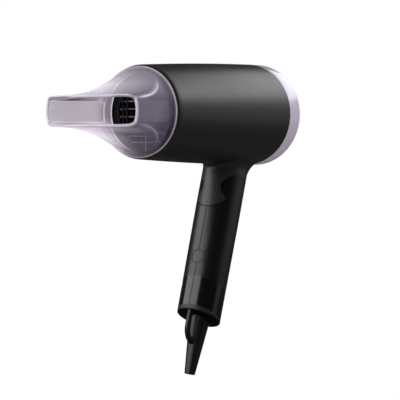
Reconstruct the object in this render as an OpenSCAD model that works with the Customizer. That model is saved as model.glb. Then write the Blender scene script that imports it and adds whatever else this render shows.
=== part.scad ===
// Travel hair dryer with a fold-under handle and a concentrator nozzle.
// The barrel lies along X with the nozzle at +X, and +Z is up.
// The origin is on the barrel axis, halfway along the black barrel shell.

/* [Barrel] */
// Length of the black barrel shell
barrel_len = 159.5; // [150:0.5:175]
// Outer radius at the front rim
barrel_front_r = 34.2; // [33.8:0.1:36]
// Outer radius at the rear edge
barrel_rear_r = 41.2; // [40.6:0.1:44]
// How far the side bulges beyond a straight taper
barrel_bulge = 0.8; // [0.4:0.1:1.6]
// Wall of the barrel shell
barrel_wall = 2.2; // [1.8:0.1:2.4]
// Rounding of the front rim
rim_round = 3; // [1:0.1:3]

/* [Nozzle] */
// Reach of the nozzle in front of the barrel
nozzle_len = 58; // [45:0.5:70]
// Width of the slot mouth
mouth_w = 78.8; // [60:0.2:90]
// Height of the slot mouth
mouth_h = 22.4; // [16:0.2:28]
// Wall of the nozzle
nozzle_wall = 2; // [1.6:0.1:2.6]
// Wall round the outlet bore at the front rim
outlet_lip = 3.2; // [2.8:0.1:3.8]
// Depth of the outlet bore in front of the grille
outlet_depth = 11; // [8:0.5:14]
// How far the nozzle draws in behind its collar
nozzle_waist = 2.5; // [0:0.1:5]
// Length of the collar that meets the barrel rim
collar_t = 1.8; // [1.5:0.1:4]
// How far the collar lies inside the barrel rim
collar_inset = 1.2; // [1:0.1:2]
// Step from the collar down to the nozzle's shell
collar_step = 1; // [0.5:0.1:1.5]

/* [Grilles] */
// Spacing of the bars across the outlet
outlet_pitch = 5.7; // [4.5:0.1:8]
// Width of a grille bar
bar_w = 1.5; // [1:0.1:2]
// Width of the flat rim round the outlet grille
grille_lip = 7; // [5:0.5:9]
// Thickness of the outlet grille
outlet_grille_t = 3; // [2:0.1:4]
// Depth of the lavender ring behind the barrel
ring_depth = 18.5; // [14:0.5:22]
// Rounding of the ring's outer rear edge
ring_round = 3; // [2:0.5:5]
// Width of the ring's flat rear face
ring_rim = 6.6; // [5.8:0.1:8]
// Thickness of the inlet grille
inlet_grille_t = 2.5; // [2:0.1:3]
// Number of rings in the inlet grille
inlet_rings = 4; // [3:1:5]
// Number of spokes in the inlet grille
inlet_spokes = 12; // [8:1:16]
// Thickness of the inlet filter
filter_t = 0.8; // [0.5:0.1:1.2]

/* [Fan and motor] */
// Wall of the fan duct
duct_wall = 2; // [1.5:0.1:2.4]
// Gap between the blade tips and the duct
tip_gap = 0.7; // [0.5:0.1:1.2]
// Radius of the fan hub
fan_hub_r = 12; // [10:0.5:14]
// Length of the fan hub
fan_len = 13; // [10:0.5:14]
// Number of fan blades
fan_blades = 9; // [5:1:11]
// Pitch of the fan blades
blade_pitch = 35; // [25:1:45]
// Radius of the motor can
motor_r = 13.5; // [11:0.5:14.5]
// Length of the motor can
motor_len = 26; // [22:0.5:30]
// Radius of the motor shaft
shaft_r = 1; // [0.8:0.1:1.5]
// Number of guide vanes
vane_count = 7; // [5:1:9]

/* [Heater] */
// Radius at the middle of the heating coil
coil_r = 25; // [22:0.5:26]
// Radius of the coiled wire
wire_r = 1.3; // [0.8:0.1:1.6]
// Turns of the heating coil
coil_turns = 9; // [5:1:10]
// Distance from turn to turn
coil_pitch = 7; // [6:0.1:7.5]
// Thickness of the mica boards
mica_t = 1; // [0.8:0.1:1.4]
// Thickness of the mica sleeve
sleeve_t = 0.6; // [0.4:0.1:0.8]

/* [Handle] */
// Lean of the handle, foot forward
lean = 19.7; // [15:0.1:24]
// Distance from the barrel's rear edge to where the handle axis meets the barrel axis
handle_inset = 17.45; // [14:0.05:22]
// Radius of the handle at the hinge
handle_r = 18; // [17.4:0.1:19]
// Radius of the handle at its foot
foot_r = 17.35; // [17:0.05:18.5]
// Wall of the handle shells
handle_wall = 2.5; // [2:0.1:2.8]
// Distance from the barrel axis to the handle's slanted foot
foot_s = 172.6; // [165:0.2:185]
// Slant of the foot
foot_tilt = 16.5; // [8:0.5:20]
// Height of the matte foot band
band_h = 4.7; // [4.2:0.1:7]

/* [Fold hinge] */
// Distance from the barrel axis to the hinge pin, along the handle
hinge_s = 66; // [64:0.2:69]
// How far the pin lies in front of the handle axis
hinge_front = 4; // [3:0.1:5]
// Radius of the hinge ears
ear_r = 11.7; // [11:0.1:12.2]
// Half of the width of the hinge tongue
tongue_half = 9; // [7:0.1:10]
// Radius of the hinge tongue
tongue_r = 10.4; // [9:0.1:10.8]
// Radius of the hinge pin
pin_r = 2.5; // [2:0.1:3]
// Length of the hinge pin
pin_len = 30; // [26:0.2:31]
// Thickness of a hinge washer
washer_t = 0.7; // [0.5:0.1:0.9]
// Slope of the seam in front of the pin
seam_angle = 50.5; // [45:0.5:53]
// Height of the rear seam above the pin
rear_seam = 9; // [7:0.5:11]
// Reach of the neck's flare in front of the handle
flare_front = 3.5; // [3:0.5:8]
// Reach of the neck's flare behind the handle
flare_rear = 15; // [10:0.5:18]

/* [Controls] */
// Distance from the barrel axis to the cool shot button
button_s = 124.4; // [122:0.2:127]
// Radius of the cool shot button
button_r = 5; // [4:0.1:6]
// Press of the cool shot button
button_press = 1.5; // [1:0.1:1.8]
// Distance from the barrel axis to the slide switch, switched off
knob_s = 124; // [122:0.2:127]
// Travel of the slide switch
knob_travel = 8; // [6:0.5:9]
// Length of the slide switch knob
knob_len = 16; // [13:0.5:19]
// Width of the slide switch knob
knob_w = 11; // [9:0.5:13]
// Height of the slide switch knob
knob_h = 2.4; // [1.8:0.1:3.5]

/* [Cord end] */
// Radius of the strain relief below the foot
relief_top_r = 8.1; // [7.5:0.1:8.6]
// Radius of the strain relief at its tip
relief_tip_r = 4.15; // [4:0.05:5.5]
// Distance from the barrel axis to the strain relief's tip
relief_s = 214.4; // [208:0.2:230]
// How far the strain relief lies behind the handle axis
relief_back = 2; // [1:0.1:3]
// Radius of the cord bore
cord_r = 3.3; // [2.8:0.1:3.5]
// Radius of the hanging loop's bar
loop_r = 2.2; // [1.8:0.1:2.3]
// Distance from the handle axis to the loop's bar
loop_out = 13.6; // [12.8:0.1:13.7]
// Length of the loop's straight stretch below the foot
loop_drop = 10; // [8:0.5:16]

/* [Clearances] */
// Gap between pieces that move past each other
move_gap = 0.35; // [0.3:0.05:0.5]
// Radial play of a turning fit
turn_play = 0.06; // [0.03:0.01:0.1]
// Play between pieces that are fixed together
seat_play = 0.1; // [0.05:0.05:0.2]

/* [Hidden] */
$fn = 72;

// Barrel places along X
rear_x = -barrel_len / 2;
front_x = barrel_len / 2;
seat_x = front_x - outlet_depth;
ring_end_x = rear_x - ring_depth;
outlet_r = barrel_front_r - outlet_lip;
inlet_r = barrel_rear_r - ring_rim;
handle_x = rear_x + handle_inset;
profile_steps = 12;
big = 300;
cut = 1;

// Ring and inlet
ring_spigot = 5;
ring_spigot_wall = 2.3;
ring_step = 0.3;
ring_chamfer = 0.6;
ledge_t = 2;
ledge_w = 1.8;
grille_recess = 4;
grille_seat_x = ring_end_x + grille_recess + inlet_grille_t;
inlet_hub_r = 7;
spoke_step = 0.5;
spoke_root = 1;
upright_step = 1;
upright_gap = 3.5;
filter_x = grille_seat_x + ledge_t;

// Duct, fan and motor
duct_step = 0.3;
duct_r = outlet_r + duct_step;
mount_x = rear_x + ring_spigot + seat_play;
mount_flange_t = 2;
mount_flange_play = 0.4;
duct_len = 36.55;
duct_end_x = mount_x + duct_len;
fan_inset = 7;
fan_x = rear_x + fan_inset;
fan_wall = 1.6;
fan_boss_wall = 2;
blade_t = 1.3;
fan_tip_r = duct_r - tip_gap;
motor_boss_r = 5;
motor_boss_t = 2;
motor_gap = 1;
motor_x = fan_x + fan_len + motor_gap + motor_boss_t;
motor_end_x = motor_x + motor_len;
shaft_depth = 5;
cup_wall = 1.6;
cup_back = 1;
vane_t = 1.4;
vane_len = 13;
vane_pitch = 20;
vane_gap = 0.5;
vane_root = 0.5;
board_t = 1.4;
board_inset = 2;
board_r = motor_r - board_inset;
board_gap = 0.6;
board_x = motor_end_x + board_gap;
terminal_r = 0.8;
terminal_out = 6;
diode_r = 1.3;
diode_len = 5;
diode_row = 4;
diode_aside = 2.6;

// Nozzle
spigot_gap = 2;
collar_round = 0.8;
duct_ease = 0.35;
waist_ease = 0.3;
root_power = 28;
mouth_power = 10;
loft_sides = 64;
loft_steps = 16;

// Heater
sleeve_r = duct_r - seat_play / 2;
sleeve_in_r = sleeve_r - sleeve_t;
sleeve_lap = 4;
sleeve_x = duct_end_x - sleeve_lap;
grille_x = seat_x - outlet_grille_t;
grille_rim = 5;
grille_r = barrel_r(seat_x) - barrel_wall - seat_play;
sleeve_end_x = grille_x - seat_play;
heater_lug = 5;
heater_gap = 9;
heater_x = board_x + heater_gap;
heater_end_gap = 4;
heater_end_x = sleeve_end_x - heater_end_gap;
heater_edge = coil_r + wire_r;
coil_gap = 2;
coil_x = heater_end_x - heater_lug - coil_gap - coil_turns * coil_pitch;
notch_play = 0.4;
thermostat_r = 5;
thermostat_h = 3.5;
thermostat_x = 9;
tab_size = [18, 3, 0.8];
guard_aside = 12;
fuse_r = 2;
fuse_len = 10;
coil_sides = 6;
coil_rings = 24;

// Handle places, in the handle's frame: origin on the hinge pin, -Z down the handle, +X to the front
pin_pos = [handle_x + hinge_s * sin(lean) + hinge_front * cos(lean), 0,
    -hinge_s * cos(lean) + hinge_front * sin(lean)];
foot_z = hinge_s - foot_s;
band_z = foot_z + band_h;
taper_drop = 20;
taper_z = -taper_drop;
handle_in_r = handle_r - handle_wall;
foot_in_r = foot_r - handle_wall;
washer_r = 6;
ear_in = tongue_half + move_gap + washer_t;
parting_groove = 0.35;
cavity_steps = 8;
neck_cavity_z = 14;
neck_wall = 3.2;
wire_hole_r = 2.6;
wire_hole_back = 6.6;
flare_sides = 40;
flare_steps = 6;
flare_bury = 0.4;
flare_depth = 4;
flare_drop = 1.05;

// Screws, bosses and boards in the handle
screw_r = 1.3;
screw_head_r = 2.8;
screw_head_t = 2;
boss_r = 3.4;
screw_hole_r = 1.6;
screw_seat = 6;
screw_reach = 7.5;
screw_spare = 0.5;
boss_inset = 0.5;
screw_back = 7;
screw_fore = 8.5;
upper_screw_drop = 34;
lower_screw_rise = 26;
upper_screw = [-hinge_front - screw_back, -upper_screw_drop];
lower_screw = [-hinge_front + screw_fore, foot_z + lower_screw_rise];
pcb_t = 1.6;
pcb_w = 24;
pcb_drop = 42;
pcb_top = -pcb_drop;
pcb_len = 44;
rail_t = 1.4;
rail_lap = 1.6;

// Controls
button_z = hinge_s - button_s;
button_flange_r = 6.4;
button_flange_t = 1.5;
button_stem_r = 2.2;
button_back = 2;
button_seat = handle_in_r - button_back;
button_sink = 0.15;
press_switch = [7, 9, 9];
press_stem_r = 1.7;
press_stem = 1;
knob_z = hinge_s - knob_s;
stem_w = 4;
stem_len = 7;
stem_dip = 1;
flange_over = 2;
flange_t = 1.6;
grip_ridges = 5;
ridge_h = 0.6;
ridge_w = 1.1;
slide_switch = [7, 9, 22];

// Cord end
cord_x = -hinge_front - relief_back;
cap_floor = 2.2;
cap_recess = 1.4;
cap_spigot = 4;
cap_spigot_wall = 1.5;
flange_r = 11;
relief_flange_t = 2;
loop_bend = 11.5;
loop_sweep = 82;
clamp_rise = 16;
clamp_z = foot_z + clamp_rise;
clamp_size = [21, 3, 6];
clamp_post = 7.2;
clamp_post_r = 2.8;
clamp_screw_len = 9;

// Outer radius of the barrel at x
function barrel_r(x) = let (u = x / barrel_len + 0.5)
    barrel_rear_r + (barrel_front_r - barrel_rear_r) * u + 4 * barrel_bulge * u * (1 - u);

// Radius of the handle's outside at z, and of its inside
function outside_r(z) = handle_r + (foot_r - handle_r) * max(0, (z - taper_z) / (foot_z - taper_z));
function inside_r(z) = outside_r(z) - handle_wall;

// Points of a circular arc about c from angle a to angle b
function arc(c, r, a, b, n = 6) = [for (i = [0 : n]) let (t = a + (b - a) * i / n) c + r * [cos(t), sin(t)]];

// Triangles of a tube of rings, each with the same number of points, closed by flat ends or on itself
function side_faces(rings, sides, closed = false) = [for (i = [0 : rings - (closed ? 1 : 2)],
    j = [0 : sides - 1], half = [0, 1])
    let (a = i * sides + j, b = i * sides + (j + 1) % sides,
        c = ((i + 1) % rings) * sides + j, d = ((i + 1) % rings) * sides + (j + 1) % sides)
    half == 0 ? [a, b, c] : [b, d, c]];
function end_faces(rings, sides) = concat([for (j = [1 : sides - 2]) [0, j + 1, j]],
    [for (j = [1 : sides - 2]) let (k = (rings - 1) * sides) [k, k + j, k + j + 1]]);

// Turns a flat profile of (radius, x) points about the barrel axis
module about_x() {
    rotate([0, 90, 0]) rotate_extrude() children();
}

// A cylinder along X from x, on the barrel axis
module rod_x(x, r, h) {
    translate([x, 0, 0]) rotate([0, 90, 0]) cylinder(r = r, h = h);
}

// Puts its children into the handle's frame
module in_handle() {
    translate(pin_pos) rotate([0, -lean, 0]) children();
}

// A cylinder along Y through (x, z), from y = a to y = b
module rod_y(x, z, r, a, b) {
    translate([x, b, z]) rotate([90, 0, 0]) cylinder(r = r, h = b - a);
}

// A slice along Y of a flat (x, z) outline
module slab_y(points) {
    rotate([90, 0, 0]) linear_extrude(4 * handle_r, center = true) polygon(points);
}

// Puts its children on the slanted foot plane at height z of the handle axis
module on_foot(z) {
    translate([-hinge_front, 0, z]) rotate([0, -foot_tilt, 0]) children();
}

// Solid inside of the barrel's outer surface
module barrel_body() {
    side = [for (i = [0 : profile_steps]) let (x = rear_x + (barrel_len - rim_round) * i / profile_steps)
        [barrel_r(x), x]];
    rim = arc([barrel_r(front_x - rim_round) - rim_round, front_x - rim_round], rim_round, 0, 90);
    about_x() polygon(concat([[0, rear_x]], side, rim, [[0, front_x]]));
}

// Hollow of the barrel, with the ledge that the motor mount sits on and the outlet bore
module barrel_hollow() {
    ledge_x = mount_x + mount_flange_t + seat_play;
    ledge_end = ledge_x + ledge_t;
    rear_r = barrel_r(rear_x) - barrel_wall;
    ledge_r = barrel_r(ledge_x) - barrel_wall;
    wide = [for (i = [0 : profile_steps]) let (x = ledge_end + (seat_x - ledge_end) * i / profile_steps)
        [barrel_r(x) - barrel_wall, x]];
    about_x() polygon(concat(
        [[0, rear_x - cut], [rear_r, rear_x - cut], [rear_r, rear_x],
        [ledge_r, ledge_x], [ledge_r - ledge_w, ledge_x], [ledge_r - ledge_w, ledge_end]],
        wide,
        [[outlet_r, seat_x], [outlet_r, front_x + cut], [0, front_x + cut]]));
}

// Distance down the handle at which a line beside the handle axis meets the barrel's underside
function barrel_s(r, a, n = 6, s = barrel_rear_r) = n == 0 ? s : let (
    x = handle_x + s * sin(lean) + r * cos(a) * cos(lean), rr = barrel_r(x), y = r * sin(a))
    barrel_s(r, a, n - 1, (r * cos(a) * sin(lean) + sqrt(rr * rr - y * y)) / cos(lean));

// Flare between the neck and the barrel: an elliptic fillet that is longer behind the handle
module neck_flare() {
    start_r = handle_r - flare_bury;
    section = flare_steps + 4;
    points = [for (i = [0 : flare_sides - 1]) let (a = 360 * i / flare_sides,
        w = flare_bury + flare_rear + (flare_front - flare_rear) * (1 + cos(a)) / 2, h = w * flare_drop)
        each concat(
            [for (j = [0 : flare_steps]) let (b = 90 * j / flare_steps, r = start_r + w * (1 - cos(b)))
                [r, a, barrel_s(r, a) + h * (1 - sin(b)) - flare_bury * sin(b)]],
            [[start_r + w, a, barrel_s(start_r + w, a) - flare_depth],
            [start_r - neck_wall + cut, a, barrel_s(start_r, a) - flare_depth],
            [start_r - neck_wall + cut, a, barrel_s(start_r, a) + h]])];
    translate([handle_x, 0, 0]) rotate([0, -lean, 0]) polyhedron(
        [for (p = points) [p[0] * cos(p[1]), p[0] * sin(p[1]), -p[2]]],
        side_faces(flare_sides, section, closed = true));
}

// Outline of all that lies above the hinge seam, in the handle's (x, z) plane
function above_seam(far = 4 * handle_r) = [[0, 0], far * [cos(seam_angle), -sin(seam_angle)],
    [far, -far], [far, far], [-far, far], [-far, rear_seam + move_gap], [0, rear_seam + move_gap]];

// Outline of all that lies below the hinge seam
function below_seam(far = 4 * handle_r) = let (step = move_gap * [-sin(seam_angle), -cos(seam_angle)])
    [[0, rear_seam], [-far, rear_seam], [-far, -3 * far], [far, -3 * far],
    far * [cos(seam_angle), -sin(seam_angle)] + step, step];

// Space that the neck's front sweeps inside the handle, a body of revolution about the pin
module hinge_sweep() {
    half = sqrt(handle_r * handle_r - pow(hinge_front + ear_r * cos(seam_angle), 2));
    edge = [for (i = [-cavity_steps : cavity_steps]) let (y = half * i / cavity_steps)
        [(sqrt(handle_r * handle_r - y * y) - hinge_front) / cos(seam_angle) + move_gap, y]];
    rotate([-90, 0, 0]) rotate_extrude() polygon(concat([[0, -half]], edge, [[0, half]]));
}

// Solid inside of the handle's outer surface; grow moves the surface out
module handle_body(grow = 0) {
    top = hinge_s;
    bottom = foot_z - 2 * handle_r;
    translate([-hinge_front, 0, 0]) rotate_extrude() polygon([[0, bottom], [outside_r(bottom) + grow, bottom],
        [handle_r + grow, taper_z], [handle_r + grow, top], [0, top]]);
}

// Barrel, neck and hinge tongue in one moulding
module barrel_shell() {
    color("#1c1c1e") difference() {
        union() {
            difference() {
                union() {
                    barrel_body();
                    intersection() {
                        union() {
                            neck_flare();
                            in_handle() intersection() {
                                handle_body();
                                slab_y(above_seam());
                            }
                        }
                        translate([rear_x, -big / 2, -big / 2]) cube(big);
                    }
                }
                barrel_hollow();
                in_handle() translate([-hinge_front, 0, neck_cavity_z])
                    cylinder(r = handle_r - neck_wall, h = hinge_s - barrel_front_r - neck_cavity_z);
                in_handle() for (side = [0, 1]) mirror([0, side, 0])
                    rod_y(0, 0, ear_r + move_gap, tongue_half, handle_r + cut);
            }
            in_handle() rod_y(0, 0, tongue_r, -tongue_half, tongue_half);
        }
        in_handle() rod_y(0, 0, pin_r + turn_play, -tongue_half - cut, tongue_half + cut);
        in_handle() translate([-wire_hole_back, 0, -tongue_r])
            cylinder(r = wire_hole_r, h = tongue_r + neck_cavity_z + cut);
    }
}

// Outlet grille: a rim that carries the mica sleeve, with level bars behind one upright and two pairs
module outlet_grille() {
    rows = floor((outlet_r - grille_lip) / outlet_pitch);
    pair = 3 * outlet_pitch;
    color("#131314") {
        difference() {
            rod_x(grille_x - grille_rim, grille_r, grille_rim + outlet_grille_t);
            rod_x(grille_x - grille_rim - cut, duct_r, grille_rim + cut);
            rod_x(grille_x - cut, outlet_r - grille_lip, outlet_grille_t + 2 * cut);
        }
        intersection() {
            rod_x(grille_x, outlet_r, outlet_grille_t);
            union() {
                for (i = [-rows : rows - 1])
                    translate([grille_x, -outlet_r, (i + 0.5) * outlet_pitch - bar_w / 2])
                    cube([outlet_grille_t - upright_step, 2 * outlet_r, bar_w]);
                for (y = [-pair - upright_gap, -pair, 0, pair, pair + upright_gap])
                    translate([grille_x, y - bar_w / 2, -outlet_r])
                    cube([outlet_grille_t, bar_w, 2 * outlet_r]);
            }
        }
    }
}

// Lavender ring round the air inlet, plugged into the barrel
module rear_ring() {
    plug_r = barrel_r(rear_x + ring_spigot) - barrel_wall - seat_play;
    edge_r = barrel_rear_r + ring_step;
    round_x = ring_end_x + ring_round;
    inner_r = plug_r - ring_spigot_wall;
    color("#b8aec1") about_x() polygon(concat(
        [[plug_r, rear_x + ring_spigot], [plug_r, rear_x], [barrel_rear_r, rear_x]],
        arc([edge_r - ring_round, round_x], ring_round, 0, -90),
        [[inlet_r + ring_chamfer, ring_end_x], [inlet_r, ring_end_x + ring_chamfer], [inlet_r, grille_seat_x],
        [inlet_r - ledge_w, grille_seat_x], [inlet_r - ledge_w, filter_x], [inner_r, filter_x],
        [inner_r, rear_x + ring_spigot]]));
}

// Inlet grille: rings on spokes round a plain hub, dropped into the ring from behind
module inlet_grille() {
    x = grille_seat_x - inlet_grille_t;
    outer_r = inlet_r - seat_play;
    step = (outer_r - bar_w - inlet_hub_r) / (inlet_rings + 1);
    color("#131314") union() {
        rod_x(x, inlet_hub_r, inlet_grille_t);
        for (i = [1 : inlet_rings + 1]) difference() {
            rod_x(x, inlet_hub_r + i * step + bar_w, inlet_grille_t);
            rod_x(x - cut, inlet_hub_r + i * step, inlet_grille_t + 2 * cut);
        }
        for (i = [0 : inlet_spokes - 1]) rotate([360 * i / inlet_spokes, 0, 0])
            translate([x + spoke_step, -bar_w / 2, inlet_hub_r - spoke_root])
            cube([inlet_grille_t - spoke_step, bar_w, outer_r - inlet_hub_r + spoke_root - bar_w / 2]);
    }
}

// Fine filter disc in front of the inlet grille
module inlet_filter() {
    color("#4a4a4d") rod_x(filter_x, inlet_r - seat_play, filter_t);
}

// Fan duct, guide vanes and the cup that holds the motor
module motor_mount() {
    cup_r = motor_r + seat_play + cup_wall;
    flange_out = barrel_r(mount_x + mount_flange_t) - barrel_wall - mount_flange_play;
    vane_x = duct_end_x - sleeve_lap - vane_len / 2 - vane_gap;
    color("#d8d4cc") difference() {
        union() {
            difference() {
                union() {
                    rod_x(mount_x, flange_out, mount_flange_t);
                    rod_x(mount_x, duct_r + duct_wall, duct_end_x - mount_x);
                }
                rod_x(mount_x - cut, duct_r, duct_end_x - mount_x + 2 * cut);
            }
            rod_x(motor_x - cup_back, cup_r, motor_len);
            for (i = [0 : vane_count - 1]) rotate([360 * i / vane_count, 0, 0])
                translate([vane_x, 0, cup_r - vane_root]) rotate([0, 0, vane_pitch])
                translate([-vane_len / 2, -vane_t / 2, 0])
                cube([vane_len, vane_t, duct_r - cup_r + 2 * vane_root]);
        }
        rod_x(motor_x, motor_r + seat_play, motor_len + cut);
        rod_x(motor_x - cup_back - cut, motor_boss_r + seat_play, cup_back + 2 * cut);
    }
}

// Motor can with its bearing boss and two terminals
module motor_can() {
    color("#a9abb0") difference() {
        union() {
            rod_x(motor_x, motor_r, motor_len);
            rod_x(motor_x - motor_boss_t, motor_boss_r, motor_boss_t + cut);
            for (side = [-1, 1]) translate([0, side * terminal_out, 0])
                rod_x(motor_end_x - cut, terminal_r, board_gap + board_t + 2 * cut);
        }
        rod_x(motor_x - motor_boss_t - cut, shaft_r + turn_play, motor_boss_t + shaft_depth + 2 * cut);
    }
}

// Round rectifier board on the motor's terminals
module rectifier_board() {
    color("#2f6b3c") difference() {
        rod_x(board_x, board_r, board_t);
        for (side = [-1, 1]) translate([0, side * terminal_out, 0])
            rod_x(board_x - cut, terminal_r + seat_play, board_t + 2 * cut);
    }
}

// Four diodes lying on the rectifier board
module rectifier_diodes() {
    color("#202024") for (side = [-1, 1], row = [-1, 1])
        rod_y(board_x + board_t + diode_r, row * diode_row, diode_r,
            side * diode_aside - diode_len / 2, side * diode_aside + diode_len / 2);
}

// Two crossed mica boards: lugs at both ends stand in the sleeve, notches carry the coil
module heater_cross() {
    lug_r = sleeve_in_r - seat_play;
    len = heater_end_x - heater_x;
    module mica_board(first) {
        difference() {
            union() {
                translate([heater_x, -heater_edge, -mica_t / 2]) cube([len, 2 * heater_edge, mica_t]);
                for (x = [heater_x, heater_end_x - heater_lug])
                    translate([x, -lug_r, -mica_t / 2]) cube([heater_lug, 2 * lug_r, mica_t]);
            }
            for (i = [0 : coil_turns - 1], edge = [0, 1]) mirror([0, edge, 0])
                translate([coil_x + (i + first + edge / 2) * coil_pitch, coil_r, 0]) {
                    cylinder(r = wire_r + notch_play, h = 3 * mica_t, center = true, $fn = 24);
                    translate([-wire_r - notch_play, 0, -mica_t])
                        cube([2 * (wire_r + notch_play), heater_edge, 2 * mica_t]);
                }
        }
    }
    color("#c9b48c") union() {
        mica_board(0);
        rotate([90, 0, 0]) mica_board(0.25);
    }
}

// Heating coil: one helix round the mica boards
module heater_coil() {
    rings = coil_turns * coil_rings;
    points = [for (i = [0 : rings], j = [0 : coil_sides - 1])
        let (a = 360 * i / coil_rings, b = 360 * j / coil_sides, r = coil_r + wire_r * cos(b))
        [coil_x + coil_pitch * i / coil_rings + wire_r * sin(b), r * cos(a), r * sin(a)]];
    color("#8d8078") polyhedron(points,
        concat([for (f = side_faces(rings + 1, coil_sides)) [f[0], f[2], f[1]]],
        [for (f = end_faces(rings + 1, coil_sides)) [f[0], f[2], f[1]]]));
}

// Mica sleeve between the hot coil and the barrel
module mica_sleeve() {
    color("#d6c7a1") difference() {
        rod_x(sleeve_x, sleeve_r, sleeve_end_x - sleeve_x);
        rod_x(sleeve_x - cut, sleeve_in_r, sleeve_end_x - sleeve_x + 2 * cut);
    }
}

// Bimetal thermostat on the level mica board
module thermostat() {
    color("#b9bcc2") translate([heater_x + thermostat_x, guard_aside, mica_t / 2]) {
        cylinder(r = thermostat_r, h = thermostat_h);
        translate([-tab_size[0] / 2, -tab_size[1] / 2, 0]) cube(tab_size);
    }
}

// Thermal fuse beside the thermostat
module thermal_fuse() {
    color("#c8c1b0") translate([0, -guard_aside, mica_t / 2 + fuse_r])
        rod_x(heater_x + thermostat_x - fuse_len / 2, fuse_r, fuse_len);
}

// Half height of the nozzle's duct and half width of its round body, at t from collar to mouth
function duct_half_h(t, r) = mouth_h / 2 + (r - mouth_h / 2) * (1 + cos(180 * pow(t, duct_ease))) / 2;
function body_half_w(t, r) = r + (mouth_w / 2 - r) * t
    - nozzle_waist * sin(180 * pow(t, waist_ease)) * (1 - t);

// Section of the nozzle: a round body of half width w and half height r, cut flat at half height h.
// The corner between the round and the flat is the crisper, the higher its power.
function nozzle_ring(x, w, r, h, power) = [for (j = [0 : loft_sides - 1]) let (a = 360 * j / loft_sides,
    k = pow(pow(norm([cos(a), sin(a) * h / r]), power) + pow(abs(sin(a)), power), -1 / power))
    [x, k * w * cos(a), k * h * sin(a)]];

// Shell of the nozzle from its round collar to its slot mouth
module nozzle_loft(root_x, root_r) {
    reach = front_x + nozzle_len - root_x;
    function section(i, wall) = let (t = i / loft_steps) nozzle_ring(root_x + reach * t,
        body_half_w(t, root_r) - wall, root_r - wall, duct_half_h(t, root_r) - wall,
        root_power + (mouth_power - root_power) * t);
    outer = [for (i = [0 : loft_steps]) section(i, 0)];
    inner = [for (i = [loft_steps : -1 : 0]) section(i, nozzle_wall)];
    rings = concat(outer, inner);
    polyhedron([for (ring = rings) each ring],
        [for (f = side_faces(len(rings), loft_sides, closed = true)) [f[0], f[2], f[1]]]);
}

// Concentrator nozzle: collar and spigot turn in the outlet, the shell flattens to the slot
module nozzle() {
    spigot_r = outlet_r - turn_play;
    spigot_x = front_x - outlet_depth + spigot_gap;
    collar_x = front_x + move_gap;
    inner_r = spigot_r - nozzle_wall;
    collar_r = barrel_front_r - collar_inset;
    rim = arc([collar_r - collar_round, collar_x + collar_t - collar_round], collar_round, 0, 90);
    color("#b9adc6", 0.6) union() {
        nozzle_loft(collar_x + collar_t / 2, collar_r - collar_step);
        about_x() polygon(concat([[inner_r, spigot_x], [spigot_r, spigot_x], [spigot_r, collar_x],
            [collar_r, collar_x]], rim, [[inner_r, collar_x + collar_t]]));
    }
}

// Axial fan: a cup hub with flat blades set at a pitch
module fan_impeller() {
    color("#2b2b2e") difference() {
        union() {
            rod_x(fan_x, fan_hub_r, fan_len);
            intersection() {
                rod_x(fan_x, fan_tip_r, fan_len);
                for (i = [0 : fan_blades - 1]) rotate([360 * i / fan_blades, 0, 0])
                    translate([fan_x + fan_len / 2, 0, fan_hub_r - cut]) rotate([0, 0, 90 - blade_pitch])
                    translate([-fan_len, -blade_t / 2, 0]) cube([2 * fan_len, blade_t, duct_r]);
            }
        }
        difference() {
            rod_x(fan_x + fan_wall, fan_hub_r - fan_wall, fan_len);
            rod_x(fan_x, shaft_r + fan_boss_wall, fan_len);
        }
        rod_x(fan_x - cut, shaft_r, fan_len + 2 * cut);
    }
}

// Motor shaft that carries the fan
module motor_shaft() {
    color("#c4c6ca") rod_x(fan_x, shaft_r, motor_x + shaft_depth - fan_x);
}

// Handle without its openings: tube below the seam, hinge ears, and room for the neck to swing
module handle_tube() {
    low_z = foot_z - handle_r;
    difference() {
        intersection() {
            handle_body();
            slab_y(below_seam());
        }
        translate([-hinge_front, 0, 0]) rotate_extrude() polygon([[0, low_z], [inside_r(low_z), low_z],
            [handle_in_r, taper_z], [handle_in_r, rear_seam + cut], [0, rear_seam + cut]]);
        intersection() {
            hinge_sweep();
            translate([-handle_in_r / 2 - hinge_front, -handle_r, -big / 2]) cube([big, 2 * handle_r, big]);
        }
        on_foot(band_z) translate([-big / 2, -big / 2, -big]) cube(big);
    }
    intersection() {
        handle_body();
        for (side = [0, 1]) mirror([0, side, 0]) rod_y(0, 0, ear_r, ear_in, handle_r + cut);
    }
}

// Slot of the given depth along X that the knob's stem travels in
module stem_room(depth) {
    translate([0, -stem_w / 2 - move_gap, 0])
        cube([depth, stem_w + 2 * move_gap, stem_len + knob_travel + 2 * move_gap]);
}

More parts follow.
